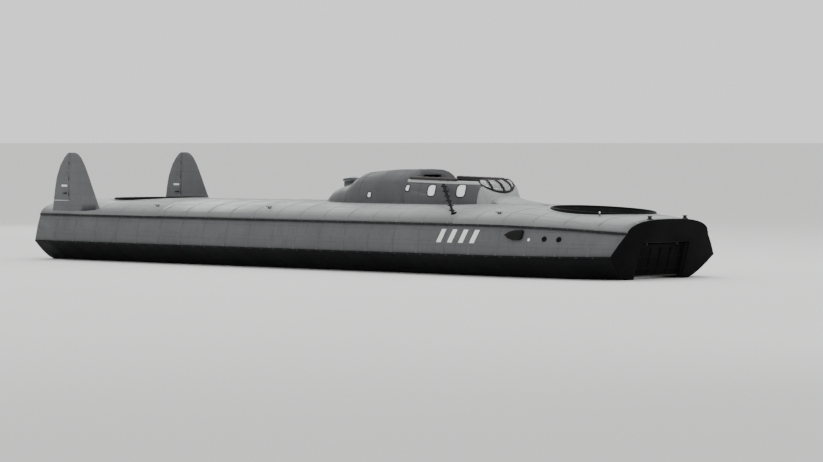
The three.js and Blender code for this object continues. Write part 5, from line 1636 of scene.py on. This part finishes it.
def model_seats():
    """Bucket seats of sheet metal with stuffed leather cushions."""
    x, z = SEAT_X, SEAT_TOP_Z
    pad = cushion_form("seat_pad", (x - 0.17, -0.205, z - 0.055), (x + 0.205, 0.205, z + 0.01))
    simulated(pad)
    channels(pad, 0, [x - 0.09, x + 0.01, x + 0.11])
    back = cushion_form("back_pad", (-0.17, -0.205, -0.03), (0.17, 0.205, 0.03))
    simulated(back)
    channels(back, 1, [-0.1, 0.0, 0.1])
    back.data.transform(Matrix.Translation((x - 0.205, 0, z + 0.19))
                        @ Matrix.Rotation(math.radians(80), 4, "Y"))
    pan = [(0.23, -0.07), (0.215, -0.05), (-0.2, -0.06), (-0.265, 0.33), (-0.3, 0.37),
           (-0.325, 0.345), (-0.265, -0.12), (0.215, -0.125)]
    wing = [(0.18, -0.12), (0.16, 0.05), (-0.05, 0.1), (-0.2, 0.3), (-0.29, 0.3), (-0.25, -0.12)]
    bucket = joined("bucket", [
        plate("sheet", [(x + along, y, z + up) for along, up in outline], (0, wide, 0), bevel)
        for outline, y, wide, bevel in ((pan, -0.215, 0.43, 0.012), (wing, -0.23, 0.012, 0.004),
                                        (wing, 0.218, 0.012, 0.004))])
    foot_x = x - 0.02
    pedestal = turned("pedestal", [(0.0, 1.171), (0.16, 1.171), (0.16, 1.18), (0.155, 1.188),
                                   (0.075, 1.2), (0.058, 1.24), (0.058, 1.7), (0.08, 1.74),
                                   (0.0, 1.74)], (foot_x, 0, 0))
    bolts = ring_of((foot_x, 0, 1.185), (0, 0, 1), 0.125, 8)
    column = joined("column", [pedestal, rivets("foot_bolts", bolts, 0.009)])
    for side, sign in SIDES.items():
        shift = Matrix.Translation((0, 0.42 * sign, 0))
        kept(moved(bucket, f"seat_bucket_{side}", shift), "cabin_paint", "Lining paint",
             replaces=[f"seat_{side}"])
        kept(moved(column, f"seat_column_{side}", shift), "dark_trim", "Trim paint")
        for source, label in ((pad, "seat_cushion"), (back, "back_cushion")):
            cushion = kept(moved(source, f"{label}_{side}", shift), "hide", "Leather")
    for source in (pad, back, bucket, column):
        bpy.data.objects.remove(source)


# Deck fittings


LADDER_FOOT = (5.98, -2.17)


def dress_ladder():
    """The boarding ladder and the bolted plate at its foot."""
    dressed("boarding_ladder", "dark_trim", "Black paint", 0.002, 40)
    place, normal = deck_at(*LADDER_FOOT)
    shoe = turned("ladder_shoe", [(0, 0.02), (0.055, 0.02), (0.075, 0.012), (0.09, 0.0)],
                  place - normal * 0.001, normal, 24)
    bolts = rivets("ladder_bolts", ring_of(place, normal, 0.07, 4, 0.013), 0.008)
    fitted("ladder_shoe", [shoe, bolts], "dark_trim", "Black paint")


def dress_bollards():
    """Bollards with bolts through their foot flanges."""
    for side in SIDES:
        name = f"bollard_{side}"
        low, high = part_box(name)
        dressed(name, "dark_trim", "Trim paint", 0.003, 30)
        ring = ring_of((low + high) / 2, (0, 0, 1), 0.068, 6)
        bolts = found_all([deck_at(place.x, place.y) for place, _ in ring], 0.013)
        kept(rivets(f"bollard_bolts_{side}", bolts, 0.008), "dark_trim", "Engine metal")


def dress_exhausts():
    """Exhaust cowls, with rivets in the side above and below them."""
    for side, sign in SIDES.items():
        node = f"exhaust_{side}"
        low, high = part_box(node)
        dressed(node, "black_paint", "Burnt steel", 0.003, 30)
        finds = [abeam(f"float_{side}", x, z, sign) for z in (low.z - 0.035, high.z + 0.035)
                 for x in spaced(low.x - 0.04, high.x + 0.04, 0.07)]
        kept(rivets(f"exhaust_bolts_{side}", found_all(finds), 0.009), "hull_paint", "Side paint")


def fit_deck_lights():
    """A small light post before the front well, and mooring cleats."""
    place, normal = deck_at(10.52, -1.23)
    metal = [
        bar("light_post", place - normal * 0.004, place + Vector((0, 0, 0.08)), 0.016, 0.012, 12),
        turned("light_foot", [(0, 0.012), (0.035, 0.012), (0.045, 0.0)], place, normal, 20)]
    dome = [(0.0, 0.0), (0.019, 0.0), (0.021, 0.01), (0.021, 0.038), (0.014, 0.048), (0.0, 0.053)]
    globe = turned("deck_light", dome, place + Vector((0, 0, 0.075)), steps=20)
    kept(globe, "clear_glass", "White paint")
    for x, y in ((7.6, 2.05), (-1.6, 2.1), (-6.6, 2.1)):
        for sign in SIDES.values():
            foot = block("cleat_foot", (-0.06, -0.025, -0.002), (0.06, 0.025, 0.014), 0.006)
            horn = pipe("cleat_horn", [(-0.12, 0, 0.052), (-0.07, 0, 0.047), (0, 0, 0.045),
                                       (0.07, 0, 0.047), (0.12, 0, 0.052)], 0.013, 12)
            legs = [bar("cleat_leg", (leg, 0, 0.01), (leg, 0, 0.045), 0.013, sides=12)
                    for leg in (-0.035, 0.035)]
            cleat = joined("cleat", [foot, horn, *legs])
            cleat.data.transform(stand_at(*deck_at(x, y * sign)))
            metal.append(cleat)
    fitted("deck_cleats", metal, "dark_trim", "Engine metal")


# Stage


FLOOR_SIZE = 6000  # far enough for its edge to stand for the horizon
CAMERA_REACH = 8000
CAMERA_PLACE = (69.458, -67.298, 3.73)
CAMERA_WAY = (-1, 1, 0)
CAMERA_FALL = 1.58  # degrees


def lamp(name, place, aim, size, power):
    """A soft square light that points at a place."""
    light = bpy.data.lights.new(name, "AREA")
    light.shape = "SQUARE"
    light.size = size
    light.energy = power
    stand = bpy.data.objects.new(name, light)
    stand.location = place
    stand.rotation_euler = (Vector(aim) - Vector(place)).to_track_quat("-Z", "Y").to_euler()
    bpy.context.scene.collection.objects.link(stand)


def build_stage():
    """A plain pale floor, soft studio light and the camera."""
    scene = bpy.context.scene
    stage = scene.boat_stage
    bpy.ops.object.select_all(action="DESELECT")
    bpy.ops.mesh.primitive_plane_add(size=FLOOR_SIZE, location=(0, 0, 0))
    floor = named("studio_floor")
    pale = bpy.data.materials.new("Pale floor")
    pale.use_nodes = True
    shader = pale.node_tree.nodes["Principled BSDF"]
    shader.inputs["Base Color"].default_value = (*stage.floor, 1)
    shader.inputs["Roughness"].default_value = 0.9
    shader.inputs["Specular IOR Level"].default_value = 0.15
    floor.data.materials.append(pale)
    world = bpy.data.worlds.new("Studio air")
    world.use_nodes = True
    air = world.node_tree.nodes["Background"]
    air.inputs["Color"].default_value = (*stage.air, 1)
    air.inputs["Strength"].default_value = stage.air_strength
    scene.world = world
    lamp("overhead softbox", (2, 4, 30), (0, 0, 1), 34, stage.overhead)
    lamp("bow key", (40, -14, 16), (4, 0, 1), 14, stage.key)
    lamp("side fill", (10, -46, 14), (0, 0, 1), 20, stage.fill)
    lamp("stern rim", (-40, 22, 18), (-6, 0, 1), 16, stage.rim)
    camera = bpy.data.cameras.new("Shore camera")
    camera.lens = stage.lens
    camera.clip_end = CAMERA_REACH
    stand = bpy.data.objects.new("Shore camera", camera)
    stand.location = CAMERA_PLACE
    way = Vector(CAMERA_WAY).normalized()
    way.z = -math.tan(math.radians(CAMERA_FALL))
    stand.rotation_euler = way.to_track_quat("-Z", "Y").to_euler()
    scene.collection.objects.link(stand)
    scene.camera = stand


# Sizes and colours


def tone(name, text, value):
    return bpy.props.FloatVectorProperty(name=name, description=text, default=value, size=3,
                                         subtype="COLOR", min=0, max=1)


def length(name, text, value, low, high):
    return bpy.props.FloatProperty(name=name, description=text, default=value, min=low, max=high,
                                   subtype="DISTANCE", unit="LENGTH")


def strength(name, text, value):
    return bpy.props.FloatProperty(name=name, description=text, default=value, min=0)


class BoatColours(bpy.types.PropertyGroup):
    """The boat's paints."""

    deck: tone("Decks", "Deck and upper side paint", (0.27, 0.277, 0.28))
    side: tone("Sides", "Side paint between rail and chine", (0.078, 0.081, 0.084))
    bottom: tone("Bottom", "Paint below the chine", (0.006, 0.0062, 0.007))
    cabin: tone("Cabin", "Cabin and cockpit paint", (0.055, 0.058, 0.06))
    fin: tone("Fins", "Fin and rudder paint", (0.09, 0.093, 0.097))
    bow: tone("Bow", "Bow plate paint", (0.003, 0.0031, 0.0034))
    trim: tone("Trim", "Rails, frames and spars", (0.008, 0.0083, 0.009))
    leather: tone("Leather", "Seats and coamings", (0.014, 0.011, 0.0095))


class BoatHull(bpy.types.PropertyGroup):
    """The hull's plating."""

    strap_width: length("Strap width", "Width of the straps over the plates' joints",
                        0.05, 0.02, 0.12)
    strap_thickness: length("Strap thickness", "How far the straps stand proud of the plates",
                            0.005, 0.001, 0.012)
    rivet_size: length("Rivet size", "Radius of the rivets' heads", 0.011, 0.004, 0.02)


class BoatEngine(bpy.types.PropertyGroup):
    """The radial engines."""

    fins: bpy.props.IntProperty(
        name="Cooling fins", description="Cooling fins on each cylinder", default=14, min=6, max=24)


class BoatStage(bpy.types.PropertyGroup):
    """The studio."""

    floor: tone("Floor", "Floor's colour", (0.72, 0.72, 0.71))
    air: tone("Air", "Colour of the light from all sides", (1.0, 1.0, 1.0))
    air_strength: strength("Air strength", "Strength of the light from all sides", 1.15)
    overhead: strength("Overhead", "Power of the softbox overhead", 7000)
    key: strength("Key", "Power of the light before the bow", 1800)
    fill: strength("Fill", "Power of the light on the near side", 2400)
    rim: strength("Rim", "Power of the light behind the stern", 2600)
    lens: bpy.props.FloatProperty(
        name="Lens", description="The camera's focal length", default=144.35, min=20,
        subtype="DISTANCE_CAMERA")


# Operators


class OBJECT_OT_boat_hull(bpy.types.Operator):
    """Plates, straps and rivets the decks, floats and ends"""

    bl_idname = "object.boat_hull"
    bl_label = "Hull plating"

    def execute(self, context):
        dress_decks()
        dress_floats()
        strap_hull()
        rivet_hull()
        bolt_rails()
        rib_tunnel()
        mark_sides()
        dress_ends()
        dress_flaps()
        return {"FINISHED"}


class OBJECT_OT_boat_wells(bpy.types.Operator):
    """Builds the ducts, engines, airscrews and vanes of both wells"""

    bl_idname = "object.boat_wells"
    bl_label = "Wells and engines"

    def execute(self, context):
        for name in WELLS:
            dress_duct(name)
            model_engine(name)
            model_fan(name)
            dress_vanes(name)
        return {"FINISHED"}


class OBJECT_OT_boat_fins(bpy.types.Operator):
    """Dresses the fins and rudders"""

    bl_idname = "object.boat_fins"
    bl_label = "Fins and rudders"

    def execute(self, context):
        dress_fins()
        return {"FINISHED"}


class OBJECT_OT_boat_cabin(bpy.types.Operator):
    """Dresses the cabin, cockpit, nose, windows, screen and hatch"""

    bl_idname = "object.boat_cabin"
    bl_label = "Cabin and cockpit shells"

    def execute(self, context):
        dress_cabin()
        fit_windows()
        line_cabin()
        dress_hatch()
        dress_screen()
        return {"FINISHED"}


class OBJECT_OT_boat_helm(bpy.types.Operator):
    """Fits out the cockpit: coamings, dashboard, steering wheel and seats"""

    bl_idname = "object.boat_helm"
    bl_label = "Cockpit fittings"

    def execute(self, context):
        pad_coamings()
        dress_dashboard()
        model_helm()
        model_seats()
        return {"FINISHED"}


class OBJECT_OT_boat_fittings(bpy.types.Operator):
    """Dresses the ladder, bollards and exhausts and adds cleats and a light"""

    bl_idname = "object.boat_fittings"
    bl_label = "Deck fittings"

    def execute(self, context):
        dress_ladder()
        dress_bollards()
        dress_exhausts()
        fit_deck_lights()
        return {"FINISHED"}


class OBJECT_OT_boat_stage(bpy.types.Operator):
    """Sets the floor, the lights and the camera"""

    bl_idname = "object.boat_stage"
    bl_label = "Studio"

    def execute(self, context):
        build_stage()
        return {"FINISHED"}


OPERATORS = [OBJECT_OT_boat_stage, OBJECT_OT_boat_hull, OBJECT_OT_boat_wells, OBJECT_OT_boat_fins,
             OBJECT_OT_boat_cabin, OBJECT_OT_boat_helm, OBJECT_OT_boat_fittings]


class VIEW3D_PT_boat(bpy.types.Panel):
    """The boat's pieces, sizes and colours"""

    bl_label = "Air-cushion boat"
    bl_idname = "VIEW3D_PT_boat"
    bl_space_type = "VIEW_3D"
    bl_region_type = "UI"
    bl_category = "Boat"

    def draw(self, context):
        for settings in (context.scene.boat_colours, context.scene.boat_hull,
                         context.scene.boat_engine, context.scene.boat_stage):
            box = self.layout.box()
            for name in settings.__annotations__:
                box.prop(settings, name)
        for operator in OPERATORS:
            self.layout.operator(operator.bl_idname)


GROUPS = {"boat_colours": BoatColours, "boat_hull": BoatHull, "boat_engine": BoatEngine,
          "boat_stage": BoatStage}
CLASSES = [*GROUPS.values(), *OPERATORS, VIEW3D_PT_boat]


def register():
    for item in CLASSES:
        bpy.utils.register_class(item)
    for name, group in GROUPS.items():
        setattr(bpy.types.Scene, name, bpy.props.PointerProperty(type=group))


def unregister():
    for name in GROUPS:
        delattr(bpy.types.Scene, name)
    for item in reversed(CLASSES):
        bpy.utils.unregister_class(item)


def main():
    register()
    for operator in OPERATORS:
        category, name = operator.bl_idname.split(".")
        getattr(getattr(bpy.ops, category), name)()


if __name__ == "__main__":
    main()
